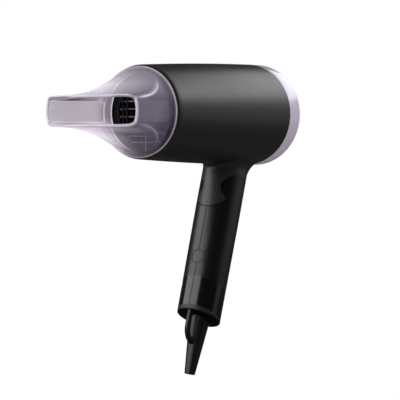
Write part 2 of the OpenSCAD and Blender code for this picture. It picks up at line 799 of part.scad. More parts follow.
// One handle half with its bosses, rails, posts and openings; side 1 is the left, -1 the right
module handle_half(side) {
    taper = atan((handle_r - foot_r) / (taper_z - foot_z));
    difference() {
        intersection() {
            union() {
                handle_tube();
                intersection() {
                    handle_body(grow = -boss_inset);
                    union() {
                        for (p = [upper_screw, lower_screw]) rod_y(p[0], p[1], boss_r, -handle_r, handle_r);
                        for (x = [-1, 1], y = [0, 1]) mirror([0, y, 0])
                            translate([-hinge_front + x * (pcb_t / 2 + rail_t / 2 + seat_play) - rail_t / 2,
                            pcb_w / 2 - rail_lap, pcb_top - pcb_len]) cube([rail_t, handle_r, pcb_len]);
                        if (side > 0) for (x = [-1, 1])
                            rod_y(cord_x + x * clamp_post, clamp_z, clamp_post_r, -cord_r, handle_r);
                    }
                }
            }
            translate([-big / 2, side > 0 ? 0 : -big, -big / 2]) cube(big);
        }
        if (side > 0) for (p = [upper_screw, lower_screw])
            rod_y(p[0], p[1], screw_r, -cut, screw_reach + screw_spare);
        if (side > 0) for (x = [-1, 1])
            rod_y(cord_x + x * clamp_post, clamp_z, screw_r, -cord_r - cut,
                clamp_screw_len - cord_r - clamp_size[1] + screw_spare);
        if (side < 0) for (p = [upper_screw, lower_screw]) {
            rod_y(p[0], p[1], screw_hole_r, -handle_r, cut);
            rod_y(p[0], p[1], screw_head_r + seat_play, -big, -screw_seat);
        }
        rod_y(0, 0, pin_r, -pin_len / 2, pin_len / 2);
        translate([-hinge_front, 0, button_z]) rotate([0, 90, 0]) cylinder(r = button_r + move_gap, h = big);
        translate([-hinge_front - big, 0, knob_z - stem_len / 2 - move_gap]) stem_room(big);
        for (x = [-1, 1]) translate([-hinge_front + x * handle_r, 0, taper_z]) rotate([0, taper * x, 0])
            rotate([0, 0, 45]) cube([parting_groove, parting_groove, 2 * foot_s], center = true);
    }
}

// Left half of the handle
module handle_left_shell() {
    color("#1b1b1d") in_handle() handle_half(1);
}

// Right half of the handle, with the screw heads sunk in it
module handle_right_shell() {
    color("#1b1b1d") in_handle() handle_half(-1);
}

// Slanted foot of the handle: a band, a floor with the cord's hole, and a spigot inside the shells
module end_cap() {
    in_r = foot_in_r - seat_play;
    color("#2a2a2c") in_handle() difference() {
        union() {
            difference() {
                handle_body();
                on_foot(band_z) translate([-big / 2, -big / 2, 0]) cube(big);
                on_foot(foot_z) translate([-big / 2, -big / 2, -big]) cube(big);
            }
            intersection() {
                translate([-hinge_front, 0, -big]) cylinder(r = in_r, h = 2 * big);
                on_foot(band_z - cut) translate([-big / 2, -big / 2, 0]) cube([big, big, cap_spigot + cut]);
            }
        }
        intersection() {
            translate([-hinge_front, 0, -big]) cylinder(r = in_r - cap_spigot_wall, h = 2 * big);
            on_foot(foot_z + cap_recess + cap_floor) translate([-big / 2, -big / 2, 0]) cube(big);
        }
        intersection() {
            translate([-hinge_front, 0, -big]) cylinder(r = foot_r - cap_spigot_wall, h = 2 * big);
            on_foot(foot_z) translate([-big / 2, -big / 2, cap_recess - big]) cube(big);
        }
        translate([cord_x, 0, -big]) cylinder(r = relief_top_r + seat_play, h = big);
        translate([-hinge_front + loop_out, 0, -big]) cylinder(r = loop_r + seat_play, h = big);
    }
}

// Strain relief: flange inside the foot, tapered boot with the cord bore, and the hanging loop
module strain_relief() {
    tip_z = hinge_s - relief_s;
    floor_z = foot_z + cap_recess + cap_floor;
    tilt_rise = tan(foot_tilt);
    bar_top = foot_z + cap_recess + cap_floor + tilt_rise * (loop_out - loop_r);
    bend_z = foot_z + tilt_rise * loop_out - loop_drop;
    color("#242426") in_handle() difference() {
        union() {
            translate([cord_x, 0, tip_z]) cylinder(r1 = relief_tip_r, r2 = relief_top_r, h = foot_z - tip_z);
            intersection() {
                translate([cord_x, 0, foot_z]) cylinder(r = relief_top_r, h = band_h + relief_top_r);
                on_foot(floor_z + relief_flange_t / 2) translate([-big / 2, -big / 2, -big]) cube(big);
            }
            intersection() {
                translate([cord_x, 0, -big]) cylinder(r = flange_r, h = 2 * big);
                on_foot(floor_z + seat_play / 2) translate([-big / 2, -big / 2, 0])
                    cube([big, big, relief_flange_t]);
            }
            translate([-hinge_front + loop_out, 0, bend_z]) cylinder(r = loop_r, h = bar_top - bend_z);
            translate([-hinge_front + loop_out - loop_bend, 0, bend_z]) rotate([-90, 0, 0])
                rotate_extrude(angle = loop_sweep) translate([loop_bend, 0]) circle(r = loop_r);
        }
        translate([cord_x, 0, tip_z - cut]) cylinder(r = cord_r, h = big);
    }
}

// Steel hinge pin, fixed in the ears
module hinge_pin() {
    color("#b4b6ba") in_handle() rod_y(0, 0, pin_r, -pin_len / 2, pin_len / 2);
}

// Washers between the tongue and the ears
module hinge_washers() {
    color("#d9c99a") in_handle() for (side = [0, 1]) mirror([0, side, 0]) difference() {
        rod_y(0, 0, washer_r, ear_in - washer_t, ear_in);
        rod_y(0, 0, pin_r + seat_play / 2, 0, ear_in + cut);
    }
}

// Screws that hold the handle halves together, heads on the right
module handle_screws() {
    color("#9a9ca0") in_handle() for (p = [upper_screw, lower_screw]) {
        rod_y(p[0], p[1], screw_r, -screw_seat, screw_reach);
        rod_y(p[0], p[1], screw_head_r, -screw_seat - screw_head_t, -screw_seat);
    }
}

// Circuit board that carries both switches, held in the shells' rails
module switch_board() {
    color("#2f6b3c") in_handle() translate([-hinge_front - pcb_t / 2, -pcb_w / 2, pcb_top - pcb_len])
        cube([pcb_t, pcb_w, pcb_len]);
}

// Body of the slide switch, behind the board, with the groove that the knob's stem runs in
module switch_body() {
    back_x = -hinge_front - pcb_t / 2 - slide_switch[0];
    color("#303034") in_handle() translate([back_x, 0, knob_z + knob_travel / 2])
        difference() {
            translate([0, -slide_switch[1] / 2, -slide_switch[2] / 2]) cube(slide_switch);
            translate([-cut, 0, -(stem_len + knob_travel) / 2 - move_gap]) stem_room(cut + 2 * stem_dip);
        }
}

// Press switch behind the cool shot button
module cool_shot_switch() {
    color("#303034") in_handle() translate([-hinge_front + pcb_t / 2, 0, button_z]) {
        translate([0, -press_switch[1] / 2, -press_switch[2] / 2]) cube(press_switch);
        rotate([0, 90, 0]) cylinder(r = press_stem_r, h = press_switch[0] + press_stem);
    }
}

// Bar that clamps the cord on two posts of the left shell
module cord_clamp() {
    color("#d8d4cc") in_handle() difference() {
        translate([cord_x - clamp_size[0] / 2, -cord_r - clamp_size[1], clamp_z - clamp_size[2] / 2])
            cube(clamp_size);
        for (x = [-1, 1]) rod_y(cord_x + x * clamp_post, clamp_z, screw_hole_r, -handle_r, handle_r);
    }
}

// Screws of the cord clamp
module cord_clamp_screws() {
    head_y = -cord_r - clamp_size[1];
    color("#9a9ca0") in_handle() for (x = [-1, 1]) {
        rod_y(cord_x + x * clamp_post, clamp_z, screw_r, head_y, head_y + clamp_screw_len);
        rod_y(cord_x + x * clamp_post, clamp_z, screw_head_r, head_y - screw_head_t, head_y);
    }
}

// Slide switch knob on the thumb side: ridged cap outside, stem through the slot, flange inside
module switch_knob() {
    shell_r = outside_r(knob_z + knob_travel + knob_len / 2);
    cap_r = shell_r + move_gap + knob_h;
    flange_out = inside_r(knob_z - knob_len) - move_gap;
    color("#2a2a2c") in_handle() translate([-hinge_front, 0, knob_z]) {
        intersection() {
            difference() {
                cylinder(r = cap_r, h = knob_len, center = true);
                cylinder(r = cap_r - knob_h, h = knob_len + cut, center = true);
            }
            translate([-2 * shell_r, -knob_w / 2, -knob_len / 2]) cube([2 * shell_r, knob_w, knob_len]);
        }
        for (i = [0 : grip_ridges - 1])
            translate([-cap_r - ridge_h, -knob_w / 4, (2 * i - grip_ridges + 0.5) * ridge_w])
            cube([ridge_h + knob_h / 2, knob_w / 2, ridge_w]);
        translate([knob_h / 2 - cap_r, -stem_w / 2, -stem_len / 2])
            cube([cap_r - knob_h / 2 - pcb_t / 2 - slide_switch[0] + stem_dip, stem_w, stem_len]);
        intersection() {
            cylinder(r = flange_out, h = stem_len + 2 * flange_over, center = true);
            translate([-flange_out, -stem_w / 2 - flange_over, -stem_len / 2 - flange_over])
                cube([flange_t, stem_w + 2 * flange_over, stem_len + 2 * flange_over]);
        }
    }
}

// Cool shot button, flush with the front of the handle
module cool_shot_button() {
    stem_x = pcb_t / 2 + press_switch[0] + press_stem + move_gap + button_press;
    color("#1f1f21") in_handle() translate([-hinge_front, 0, button_z]) {
        intersection() {
            rotate([0, 90, 0]) cylinder(r = button_r, h = big);
            translate([0, 0, -handle_r]) cylinder(r = outside_r(button_z) - button_sink, h = 2 * handle_r);
            translate([button_seat - button_flange_t, -handle_r, -handle_r]) cube(2 * handle_r);
        }
        translate([button_seat - button_flange_t, 0, 0]) rotate([0, 90, 0])
            cylinder(r = button_flange_r, h = button_flange_t);
        translate([stem_x, 0, 0]) rotate([0, 90, 0]) cylinder(r = button_stem_r, h = button_seat - stem_x);
    }
}

barrel_shell();
outlet_grille();
rear_ring();
inlet_grille();
inlet_filter();
motor_mount();
motor_can();
rectifier_board();
rectifier_diodes();
heater_cross();
heater_coil();
mica_sleeve();
thermostat();
thermal_fuse();
nozzle();
fan_impeller();
motor_shaft();
handle_left_shell();
handle_right_shell();
end_cap();
strain_relief();
hinge_pin();
hinge_washers();
handle_screws();
switch_board();
switch_body();
cool_shot_switch();
cord_clamp();
cord_clamp_screws();
switch_knob();
cool_shot_button();
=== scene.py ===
"""Travel hair dryer with a fold-under handle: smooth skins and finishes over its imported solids.

Lengths are in millimetres until a mesh is made. +X points out of the nozzle, +Z is up, and the
origin lies on the barrel axis, halfway along the black barrel shell.
"""

import bmesh
import bpy
import numpy as np
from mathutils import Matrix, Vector


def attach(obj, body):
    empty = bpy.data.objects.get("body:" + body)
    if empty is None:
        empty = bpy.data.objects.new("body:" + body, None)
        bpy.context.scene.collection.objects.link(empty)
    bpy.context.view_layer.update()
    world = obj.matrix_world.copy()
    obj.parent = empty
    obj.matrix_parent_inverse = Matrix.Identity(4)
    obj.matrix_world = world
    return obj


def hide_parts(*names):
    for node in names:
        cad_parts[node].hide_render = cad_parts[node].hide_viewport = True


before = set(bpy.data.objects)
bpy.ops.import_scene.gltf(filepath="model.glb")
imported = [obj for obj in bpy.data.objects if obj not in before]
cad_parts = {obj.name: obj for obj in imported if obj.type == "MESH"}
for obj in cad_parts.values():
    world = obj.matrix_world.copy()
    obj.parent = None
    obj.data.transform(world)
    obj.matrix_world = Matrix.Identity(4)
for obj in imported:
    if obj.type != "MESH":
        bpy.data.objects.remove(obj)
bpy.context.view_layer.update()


# Barrel shell: the black ABS body with the neck and the hinge tongue in one moulding.
# It is sprayed with a satin lacquer, and the neck swells into the barrel in a fillet that is longer behind
# than in front. Inside the hinge its faces are a rougher near-black: painted shade. All the other pieces
# are fixed in it or on it.

BARREL_LEN = 159.5
BARREL_FRONT_R = 34.2
BARREL_REAR_R = 41.2
BARREL_BULGE = 0.8
BARREL_WALL = 2.2
RIM_BACK = 1.9
RIM_ROUND = 2.4
RIM_LINE = 3.2
RIM_LINE_W = 0.6
RIM_LINE_DEPTH = 0.25
BORE_ROUND = 0.6
OUTLET_R = 31.0
OUTLET_DEPTH = 11.0
FRONT_X = BARREL_LEN / 2
RIM_X = FRONT_X - RIM_BACK
REAR_X = -BARREL_LEN / 2
LEAN = np.radians(19.7)
HANDLE_SET = 17.45
HANDLE_X = REAR_X + HANDLE_SET
HANDLE_R = 18.0
HINGE_S = 66.0
HINGE_FRONT = 4.0
PIN_X = HANDLE_X + HINGE_S * np.sin(LEAN) + HINGE_FRONT * np.cos(LEAN)
PIN_Z = -HINGE_S * np.cos(LEAN) + HINGE_FRONT * np.sin(LEAN)
EAR_R = 11.7
MOVE_GAP = 0.35
SEAM_ANGLE = np.radians(50.5)
REAR_SEAM = 9.0
TONGUE_R = 10.4
TONGUE_HALF = 9.0
TONGUE_EDGE = 0.97
NECK_BORE_R = 14.8
NECK_BORE_Z = 14.0
FLARE_FRONT = 3.9
FLARE_REAR = 15.4
FLARE_DROP = 1.05
FLARE_BURY = 0.05
PAINTED_SHADE_EDGE = 0.05
TIP_STEPS = 14


def barrel_r(x):
    """Outer radius at x: a straight taper from the rear to the front, plus a parabola for the bulge."""
    u = x / BARREL_LEN + 0.5
    return BARREL_REAR_R + (BARREL_FRONT_R - BARREL_REAR_R) * u + 4 * BARREL_BULGE * u * (1 - u)


def arc(x, r, radius, start, end, steps=10):
    """Points of a circular arc about (x, r), between two angles in degrees from the +x direction."""
    a = np.radians(np.linspace(start, end, steps))
    return np.stack([x + radius * np.cos(a), r + radius * np.sin(a)], axis=1)


def grid_faces(rows, columns, rows_close=False, columns_close=True):
    """Quads between neighbouring rows and columns of a grid, joined round where it closes on itself."""
    i, j = np.meshgrid(np.arange(rows - (not rows_close)), np.arange(columns - (not columns_close)),
                       indexing="ij")
    i2, j2 = (i + 1) % rows, (j + 1) % columns
    corners = [i * columns + j, i * columns + j2, i2 * columns + j2, i2 * columns + j]
    return np.stack(corners, axis=-1).reshape(-1, 4)


def turned(profile, steps=192):
    """A closed (x, radius) profile turned about the barrel axis: y and z are the radius on a circle."""
    a = np.linspace(0, 2 * np.pi, steps, endpoint=False)
    x, r = profile[:, :1], profile[:, 1:]
    points = np.stack([x + 0 * a, r * np.cos(a), r * np.sin(a)], axis=-1)
    return points.reshape(-1, 3), grid_faces(len(profile), steps, rows_close=True)


def from_handle(x, y, z):
    """Places the handle's own x, y, z in the model: turned by the lean about the hinge pin."""
    return np.stack([PIN_X + x * np.cos(LEAN) - z * np.sin(LEAN), y,
                     PIN_Z + x * np.sin(LEAN) + z * np.cos(LEAN)], axis=-1)


def make_piece(name, patches, material, body, slot, *nodes, crease=35):
    """One mesh of patches of points and quads, doubles merged and faces outwards, on its body."""
    points = np.concatenate([p for p, _ in patches]) / 1000
    starts = np.cumsum([0] + [len(p) for p, _ in patches[:-1]])
    faces = np.concatenate([f + s for (_, f), s in zip(patches, starts)])
    mesh = bpy.data.meshes.new(name)
    mesh.from_pydata(points.tolist(), [], faces.tolist())
    shape = bmesh.new()
    shape.from_mesh(mesh)
    bmesh.ops.remove_doubles(shape, verts=shape.verts, dist=1e-6)
    bmesh.ops.recalc_face_normals(shape, faces=shape.faces)
    shape.to_mesh(mesh)
    shape.free()
    mesh.shade_smooth()
    mesh.set_sharp_from_angle(angle=np.radians(crease))
    mesh.materials.append(material)
    piece = bpy.data.objects.new(name, mesh)
    bpy.context.scene.collection.objects.link(piece)
    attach(piece, body)
    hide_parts(*nodes)
    return piece


def linear(colour):
    """Linear RGBA of an sRGB hex colour."""
    c = np.array([int(colour[i:i + 2], 16) for i in (1, 3, 5)]) / 255
    return (*np.where(c <= 0.04045, c / 12.92, ((c + 0.055) / 1.055) ** 2.4).tolist(), 1.0)


def add(tree, kind, inputs=(), **settings):
    """Adds a node with its settings. Each input is set, or linked to another node's output."""
    made = tree.nodes.new(kind)
    for key, value in settings.items():
        setattr(made, key, value)
    for key, value in dict(inputs).items():
        if isinstance(value, bpy.types.NodeSocket):
            tree.links.new(value, made.inputs[key])
        else:
            made.inputs[key].default_value = value
    return made


def new_material(name):
    """An empty node material, its node tree and its object coordinates."""
    material = bpy.data.materials.new(name)
    material.use_nodes = True
    material.node_tree.nodes.clear()
    place = add(material.node_tree, "ShaderNodeTexCoord")
    return material, material.node_tree, place.outputs["Object"]


def moulded(name, dark, light, roughness, grain, depth, patch=40.0, specular=0.5):
    """Moulded or lacquered plastic: cloudy colour and gloss in patches, and a fine pebble in the surface.

    grain and patch are the sizes of a pebble and of a cloud in millimetres, depth is the pebble's height.
    """
    material, tree, place = new_material(name)
    cloud = add(tree, "ShaderNodeTexNoise", {"Vector": place, "Scale": 1000 / patch, "Detail": 3.0})
    pebble = add(tree, "ShaderNodeTexNoise", {"Vector": place, "Scale": 1000 / grain, "Detail": 2.0})
    colour = add(tree, "ShaderNodeMix", {"Factor": cloud.outputs["Fac"], "A": linear(dark),
                                         "B": linear(light)}, data_type="RGBA")
    gloss = add(tree, "ShaderNodeMapRange", {"Value": cloud.outputs["Fac"], "To Min": roughness - 0.03,
                                             "To Max": roughness + 0.03})
    bump = add(tree, "ShaderNodeBump", {"Height": pebble.outputs["Fac"], "Strength": 0.5,
                                        "Distance": depth / 1000})
    skin = add(tree, "ShaderNodeBsdfPrincipled", {
        "Base Color": colour.outputs["Result"], "Roughness": gloss.outputs["Result"],
        "Specular IOR Level": specular, "Normal": bump.outputs["Normal"]})
    add(tree, "ShaderNodeOutputMaterial", {"Surface": skin.outputs["BSDF"]})
    return material


def barrel_profile():
    """Outline of the barrel's wall: tapered side, line behind the round rim, outlet bore, inside back."""
    line_x = RIM_X - RIM_LINE
    side_x = np.linspace(REAR_X, line_x - RIM_LINE_W / 2, 60)
    rim_r = barrel_r(RIM_X - RIM_ROUND)
    inside_x = np.linspace(FRONT_X - OUTLET_DEPTH, REAR_X, 40)
    return np.concatenate([
        np.stack([side_x, barrel_r(side_x)], axis=1),
        [[line_x, barrel_r(line_x) - RIM_LINE_DEPTH],
         [line_x + RIM_LINE_W / 2, barrel_r(line_x + RIM_LINE_W / 2)]],
        arc(RIM_X - RIM_ROUND, rim_r - RIM_ROUND, RIM_ROUND, 90, 0),
        arc(RIM_X - BORE_ROUND, OUTLET_R + BORE_ROUND, BORE_ROUND, 0, -90),
        [[FRONT_X - OUTLET_DEPTH, OUTLET_R]],
        np.stack([inside_x, barrel_r(inside_x) - BARREL_WALL], axis=1)])


def barrel_s(r, a):
    """Distance down the handle axis at which a line at radius r and angle a meets the barrel.

    The barrel's radius depends on where they meet, so the distance is worked out again from each guess.
    """
    s = np.full(np.broadcast(r, a).shape, BARREL_REAR_R)
    for _ in range(8):
        x = HANDLE_X + s * np.sin(LEAN) + r * np.cos(a) * np.cos(LEAN)
        s = (r * np.cos(a) * np.sin(LEAN) + np.sqrt(barrel_r(x) ** 2 - (r * np.sin(a)) ** 2)) / np.cos(LEAN)
    return s


def neck_skin():
    """The neck: a column cut at its foot by the slanted seam, the hinge ear's circle and the rear seam.

    Rows of the skin run up from the cut to an elliptic fillet that leaves the column upright and meets the
    barrel along its side, then back inside the barrel's wall and down the neck's bore. The beak is the part
    of the column between the slanted seam and the ear. The sole joins the left and right cut edges.
    """
    edge_r = EAR_R + MOVE_GAP
    rear_z = REAR_SEAM + MOVE_GAP
    tip = np.arccos((edge_r + HINGE_FRONT) / HANDLE_R)
    socket_x = edge_r * np.cos(np.linspace(0, np.pi - np.arcsin(rear_z / edge_r), 50)[1:])
    socket = np.arccos((socket_x + HINGE_FRONT) / HANDLE_R)
    half = np.concatenate([np.linspace(0, tip, TIP_STEPS), socket,
                           np.linspace(socket[-1], np.pi, 22)[1:]])
    half_x = HANDLE_R * np.cos(half) - HINGE_FRONT
    half_low = np.sqrt(np.maximum(edge_r ** 2 - half_x ** 2, 0))
    half_low = np.where(half <= tip, 0, np.where(half >= socket[-1], rear_z, half_low))
    a = np.concatenate([half, -half[-2:0:-1]])
    low = np.concatenate([half_low, half_low[-2:0:-1]])

    width = FLARE_REAR + (FLARE_FRONT - FLARE_REAR) * (1 + np.cos(a)) / 2
    top = HINGE_S - barrel_s(HANDLE_R, a) - FLARE_DROP * width
    column_z = low + (top - low) * np.linspace(0, 1, 12)[:, None]
    b = np.radians(np.linspace(0, 90, 25))[1:, None]
    flare_r = HANDLE_R + width * (1 - np.cos(b))
    flare_z = HINGE_S - barrel_s(flare_r, a) - FLARE_DROP * width * (1 - np.sin(b)) + FLARE_BURY * np.sin(b)
    wall_r = flare_r[-1:]
    wall_z = HINGE_S - barrel_s(wall_r, a) + BARREL_WALL / 2
    bore_r = np.full((1, len(a)), NECK_BORE_R)
    bore_z = HINGE_S - barrel_s(bore_r, a) + BARREL_WALL / 2
    r = np.concatenate([0 * column_z + HANDLE_R, flare_r, wall_r, bore_r, bore_r, 0 * bore_r])
    bore_end_z = np.full((2, len(a)), NECK_BORE_Z)
    z = np.concatenate([column_z, flare_z, wall_z, bore_z, bore_end_z])
    skin = from_handle(r * np.cos(a) - HINGE_FRONT, r * np.sin(a), z)
    skin[..., 0] = np.maximum(skin[..., 0], REAR_X)

    beak_x = edge_r * np.cos(np.linspace(0, SEAM_ANGLE, 18)[1:])
    beak = np.concatenate([np.linspace(0, tip, TIP_STEPS), np.arccos((beak_x + HINGE_FRONT) / HANDLE_R)])
    beak_x = HANDLE_R * np.cos(beak) - HINGE_FRONT
    beak_low = -np.tan(SEAM_ANGLE) * beak_x
    beak_top = np.where(beak <= tip, 0, -np.sqrt(np.maximum(edge_r ** 2 - beak_x ** 2, 0)))
    c = np.concatenate([-beak[:0:-1], beak])
    mirror = np.concatenate([np.arange(len(beak))[:0:-1], np.arange(len(beak))])
    beak_z = beak_low[mirror] + (beak_top - beak_low)[mirror] * np.linspace(0, 1, 10)[:, None]
    front = from_handle(0 * beak_z + HANDLE_R * np.cos(c) - HINGE_FRONT,
                        0 * beak_z + HANDLE_R * np.sin(c), beak_z)

    round_tip = len(beak) - 1 - np.arange(len(beak) - TIP_STEPS)
    edge_a = np.concatenate([beak, beak[round_tip[1:]], half[TIP_STEPS - 1:]])
    edge_z = np.concatenate([beak_low, beak_top[round_tip[1:]], half_low[TIP_STEPS - 1:]])
    across = np.linspace(-1, 1, 9)[:, None]
    sole = from_handle(0 * across + HANDLE_R * np.cos(edge_a) - HINGE_FRONT,
                       across * HANDLE_R * np.sin(edge_a), 0 * across + edge_z)
    return [(skin.reshape(-1, 3), grid_faces(len(skin), len(a))),
            (front.reshape(-1, 3), grid_faces(len(front), len(c), columns_close=False)),
            (sole.reshape(-1, 3), grid_faces(len(sole), len(edge_a), columns_close=False))]


def tongue():
    """The hinge tongue: a disc about the pin that fills the neck's socket above, with rounded edges."""
    a = np.linspace(0, 2 * np.pi, 96, endpoint=False)
    inside = (a < np.pi - np.arcsin(REAR_SEAM / EAR_R)) | (a > 2 * np.pi - SEAM_ANGLE)
    reach = np.where(inside, EAR_R + 2 * MOVE_GAP, TONGUE_R)
    shrink = np.array([0, TONGUE_EDGE, 1, 1, TONGUE_EDGE, 0])[:, None]
    y = np.array([-1, -1, -TONGUE_EDGE, TONGUE_EDGE, 1, 1])[:, None] * TONGUE_HALF
    points = from_handle(shrink * reach * np.cos(a), y + 0 * a, shrink * reach * np.sin(a))
    return points.reshape(-1, 3), grid_faces(6, len(a))


satin_lacquer = moulded("satin_lacquered_abs", "#19191a", "#1f1f20", roughness=0.4, grain=0.5, depth=0.004)
make_piece("barrel_body", [turned(barrel_profile())], satin_lacquer, "barrel", "satin_black",
           "barrel_shell")
neck = make_piece("neck_and_tongue", neck_skin() + [tongue()], satin_lacquer, "barrel", "satin_black",
                  "barrel_shell")


def face_values(piece, name):
    """Centres or normals of a piece's faces, one row each."""
    values = np.empty(3 * len(piece.data.polygons))
    piece.data.polygons.foreach_get(name, values)
    return values.reshape(-1, 3)


def second_finish(piece, material, chosen):
    """Gives the chosen faces of a piece another material."""
    piece.data.materials.append(material)
    piece.data.polygons.foreach_set("material_index", chosen.astype(np.int32))


x, y, z = face_values(neck, "center").T * 1000
from_axis = np.hypot((x - PIN_X) * np.cos(LEAN) + (z - PIN_Z) * np.sin(LEAN) + HINGE_FRONT, y)
# painted shade: a near-black, rough finish on the faces inside the hinge and on the foot's down-facing sole
painted_shade_abs = moulded("painted_shade_abs", "#040404", "#070707", roughness=0.7, grain=0.9, depth=0.02, specular=0.15)
second_finish(neck, painted_shade_abs, from_axis < HANDLE_R - PAINTED_SHADE_EDGE)


# Outlet grille: the black grid across the outlet, moulded in heat-proof phenolic resin.
# Its level bars stand back behind one upright and two pairs; a painted highlight, a pale line that glows,
# runs along each bar's lower front edge and the middle upright, brightest low down, behind the nozzle's
# lower wall.

GRILLE_PITCH = 5.7
GRILLE_FRONT_X = FRONT_X - OUTLET_DEPTH
BAR_STEP = 1.0
# BRIGHT_EDGE to LOW_LINES_Z: width, place and glow of the grille's painted highlight lines
BRIGHT_EDGE = 0.3
BRIGHT_DROP = 0.42
FACE_REACH = 0.2
LINE_GLOW = 0.08
LOW_LINE_GLOW = 1.5
LOW_LINES_Z = -12.0


def dress(material, *names):
    """Gives CAD nodes a finish."""
    for name in names:
        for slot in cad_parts[name].material_slots:
            slot.material = material


def grille_resin():
    """Black phenolic with a painted highlight, a pale glowing line, on each level bar's front, below its
    middle, and on the upright.

    The lines low down glow brighter: painted light that stands in for the light of the nozzle's lower wall.
    """
    material, tree, place = new_material("phenolic_resin_black")
    axes = add(tree, "ShaderNodeSeparateXYZ", {"Vector": place})
    first = (GRILLE_PITCH / 2 - BRIGHT_DROP) / 1000
    from_bar = add(tree, "ShaderNodeMath", {0: axes.outputs["Z"], 1: first}, operation="SUBTRACT")
    off_bar = add(tree, "ShaderNodeMath", {0: from_bar.outputs[0], 1: GRILLE_PITCH / 2000},
                  operation="PINGPONG")
    on_bar = add(tree, "ShaderNodeMath", {0: off_bar.outputs[0], 1: BRIGHT_EDGE / 1000},
                 operation="LESS_THAN")
    bar_front = add(tree, "ShaderNodeMath", {0: axes.outputs["X"], 1: (GRILLE_FRONT_X - BAR_STEP) / 1000,
                                             2: FACE_REACH / 1000}, operation="COMPARE")
    on_middle = add(tree, "ShaderNodeMath", {0: axes.outputs["Y"], 1: 0.0, 2: BRIGHT_EDGE / 1000},
                    operation="COMPARE")
    upright_front = add(tree, "ShaderNodeMath", {0: axes.outputs["X"], 1: GRILLE_FRONT_X / 1000,
                                                 2: FACE_REACH / 1000}, operation="COMPARE")
    level = add(tree, "ShaderNodeMath", {0: on_bar.outputs[0], 1: bar_front.outputs[0]},
                operation="MULTIPLY")
    upright = add(tree, "ShaderNodeMath", {0: on_middle.outputs[0], 1: upright_front.outputs[0]},
                  operation="MULTIPLY")
    line = add(tree, "ShaderNodeMath", {0: level.outputs[0], 1: upright.outputs[0]},
               operation="MAXIMUM").outputs[0]
    lit = add(tree, "ShaderNodeMapRange", {
        "Value": axes.outputs["Z"], "From Min": (LOW_LINES_Z - 1) / 1000,
        "From Max": (LOW_LINES_Z + 1) / 1000, "To Min": LOW_LINE_GLOW, "To Max": LINE_GLOW})
    # painted glow: the highlight lines emit light, most of all low down
    shine = add(tree, "ShaderNodeMath", {0: line, 1: lit.outputs["Result"]}, operation="MULTIPLY")
    speck = add(tree, "ShaderNodeTexNoise", {"Vector": place, "Scale": 1000 / 1.2})
    speckled_highlight = add(tree, "ShaderNodeMath", {0: line, 1: speck.outputs["Fac"]}, operation="MULTIPLY")
    # painted highlight: the pale colour of the lines
    colour = add(tree, "ShaderNodeMix", {"Factor": line, "A": linear("#050505"), "B": linear("#8a8588")},
                 data_type="RGBA")
    gloss = add(tree, "ShaderNodeMapRange", {"Value": speckled_highlight.outputs[0], "To Min": 0.5, "To Max": 0.3})
    skin = add(tree, "ShaderNodeBsdfPrincipled", {
        "Base Color": colour.outputs["Result"], "Roughness": gloss.outputs["Result"],
        "Specular IOR Level": 0.2, "Emission Color": linear("#8a8588"),
        "Emission Strength": shine.outputs[0]})
    add(tree, "ShaderNodeOutputMaterial", {"Surface": skin.outputs["BSDF"]})
    return material


dress(grille_resin(), "outlet_grille")


# Heater: nichrome wire coiled on crossed mica boards inside a mica sleeve, with the bimetal
# thermostat and the thermal fuse riveted to the boards. The boards plug into the outlet grille.


def mica_sheet():
    """Pressed mica: silvery brown flakes a few millimetres across, each a little lighter or darker."""
    material, tree, place = new_material("pressed_mica")
    flake = add(tree, "ShaderNodeTexVoronoi", {"Vector": place, "Scale": 1000 / 3.0})
    tint = add(tree, "ShaderNodeSeparateColor", {"Color": flake.outputs["Color"]})
    colour = add(tree, "ShaderNodeMix", {"Factor": tint.outputs["Red"], "A": linear("#2a231b"),
                                         "B": linear("#3b3328")}, data_type="RGBA")
    gloss = add(tree, "ShaderNodeMapRange", {"Value": tint.outputs["Green"], "To Min": 0.28, "To Max": 0.5})
    bump = add(tree, "ShaderNodeBump", {"Height": flake.outputs["Distance"], "Strength": 0.3,
                                        "Distance": 0.0001})
    skin = add(tree, "ShaderNodeBsdfPrincipled", {
        "Base Color": colour.outputs["Result"], "Roughness": gloss.outputs["Result"], "Sheen Weight": 0.2,
        "Normal": bump.outputs["Normal"]})
    add(tree, "ShaderNodeOutputMaterial", {"Surface": skin.outputs["BSDF"]})
    return material


def drawn_metal(name, dark, light, roughness, streak, stretch=(0.05, 1.0, 1.0)):
    """Drawn or turned metal: streaks of a given width in millimetres, long along the stretched axis."""
    material, tree, place = new_material(name)
    along = add(tree, "ShaderNodeMapping", {"Vector": place, "Scale": stretch})
    streaks = add(tree, "ShaderNodeTexNoise", {"Vector": along.outputs["Vector"], "Scale": 1000 / streak,
                                               "Detail": 3.0})
    colour = add(tree, "ShaderNodeMix", {"Factor": streaks.outputs["Fac"], "A": linear(dark),
                                         "B": linear(light)}, data_type="RGBA")
    gloss = add(tree, "ShaderNodeMapRange", {"Value": streaks.outputs["Fac"], "To Min": roughness - 0.1,
                                             "To Max": roughness + 0.1})
    bump = add(tree, "ShaderNodeBump", {"Height": streaks.outputs["Fac"], "Strength": 0.2,
                                        "Distance": 0.00005})
    skin = add(tree, "ShaderNodeBsdfPrincipled", {
        "Base Color": colour.outputs["Result"], "Roughness": gloss.outputs["Result"], "Metallic": 1.0,
        "Normal": bump.outputs["Normal"]})
    add(tree, "ShaderNodeOutputMaterial", {"Surface": skin.outputs["BSDF"]})
    return material


dress(mica_sheet(), "heater_cross", "mica_sleeve")
dress(drawn_metal("oxidised_nichrome", "#4d4843", "#8a827a", roughness=0.45, streak=0.8), "heater_coil")
plated_steel = drawn_metal("zinc_plated_steel", "#a9abae", "#c9cbce", roughness=0.3, streak=0.4)
dress(plated_steel, "thermostat", "thermal_fuse")


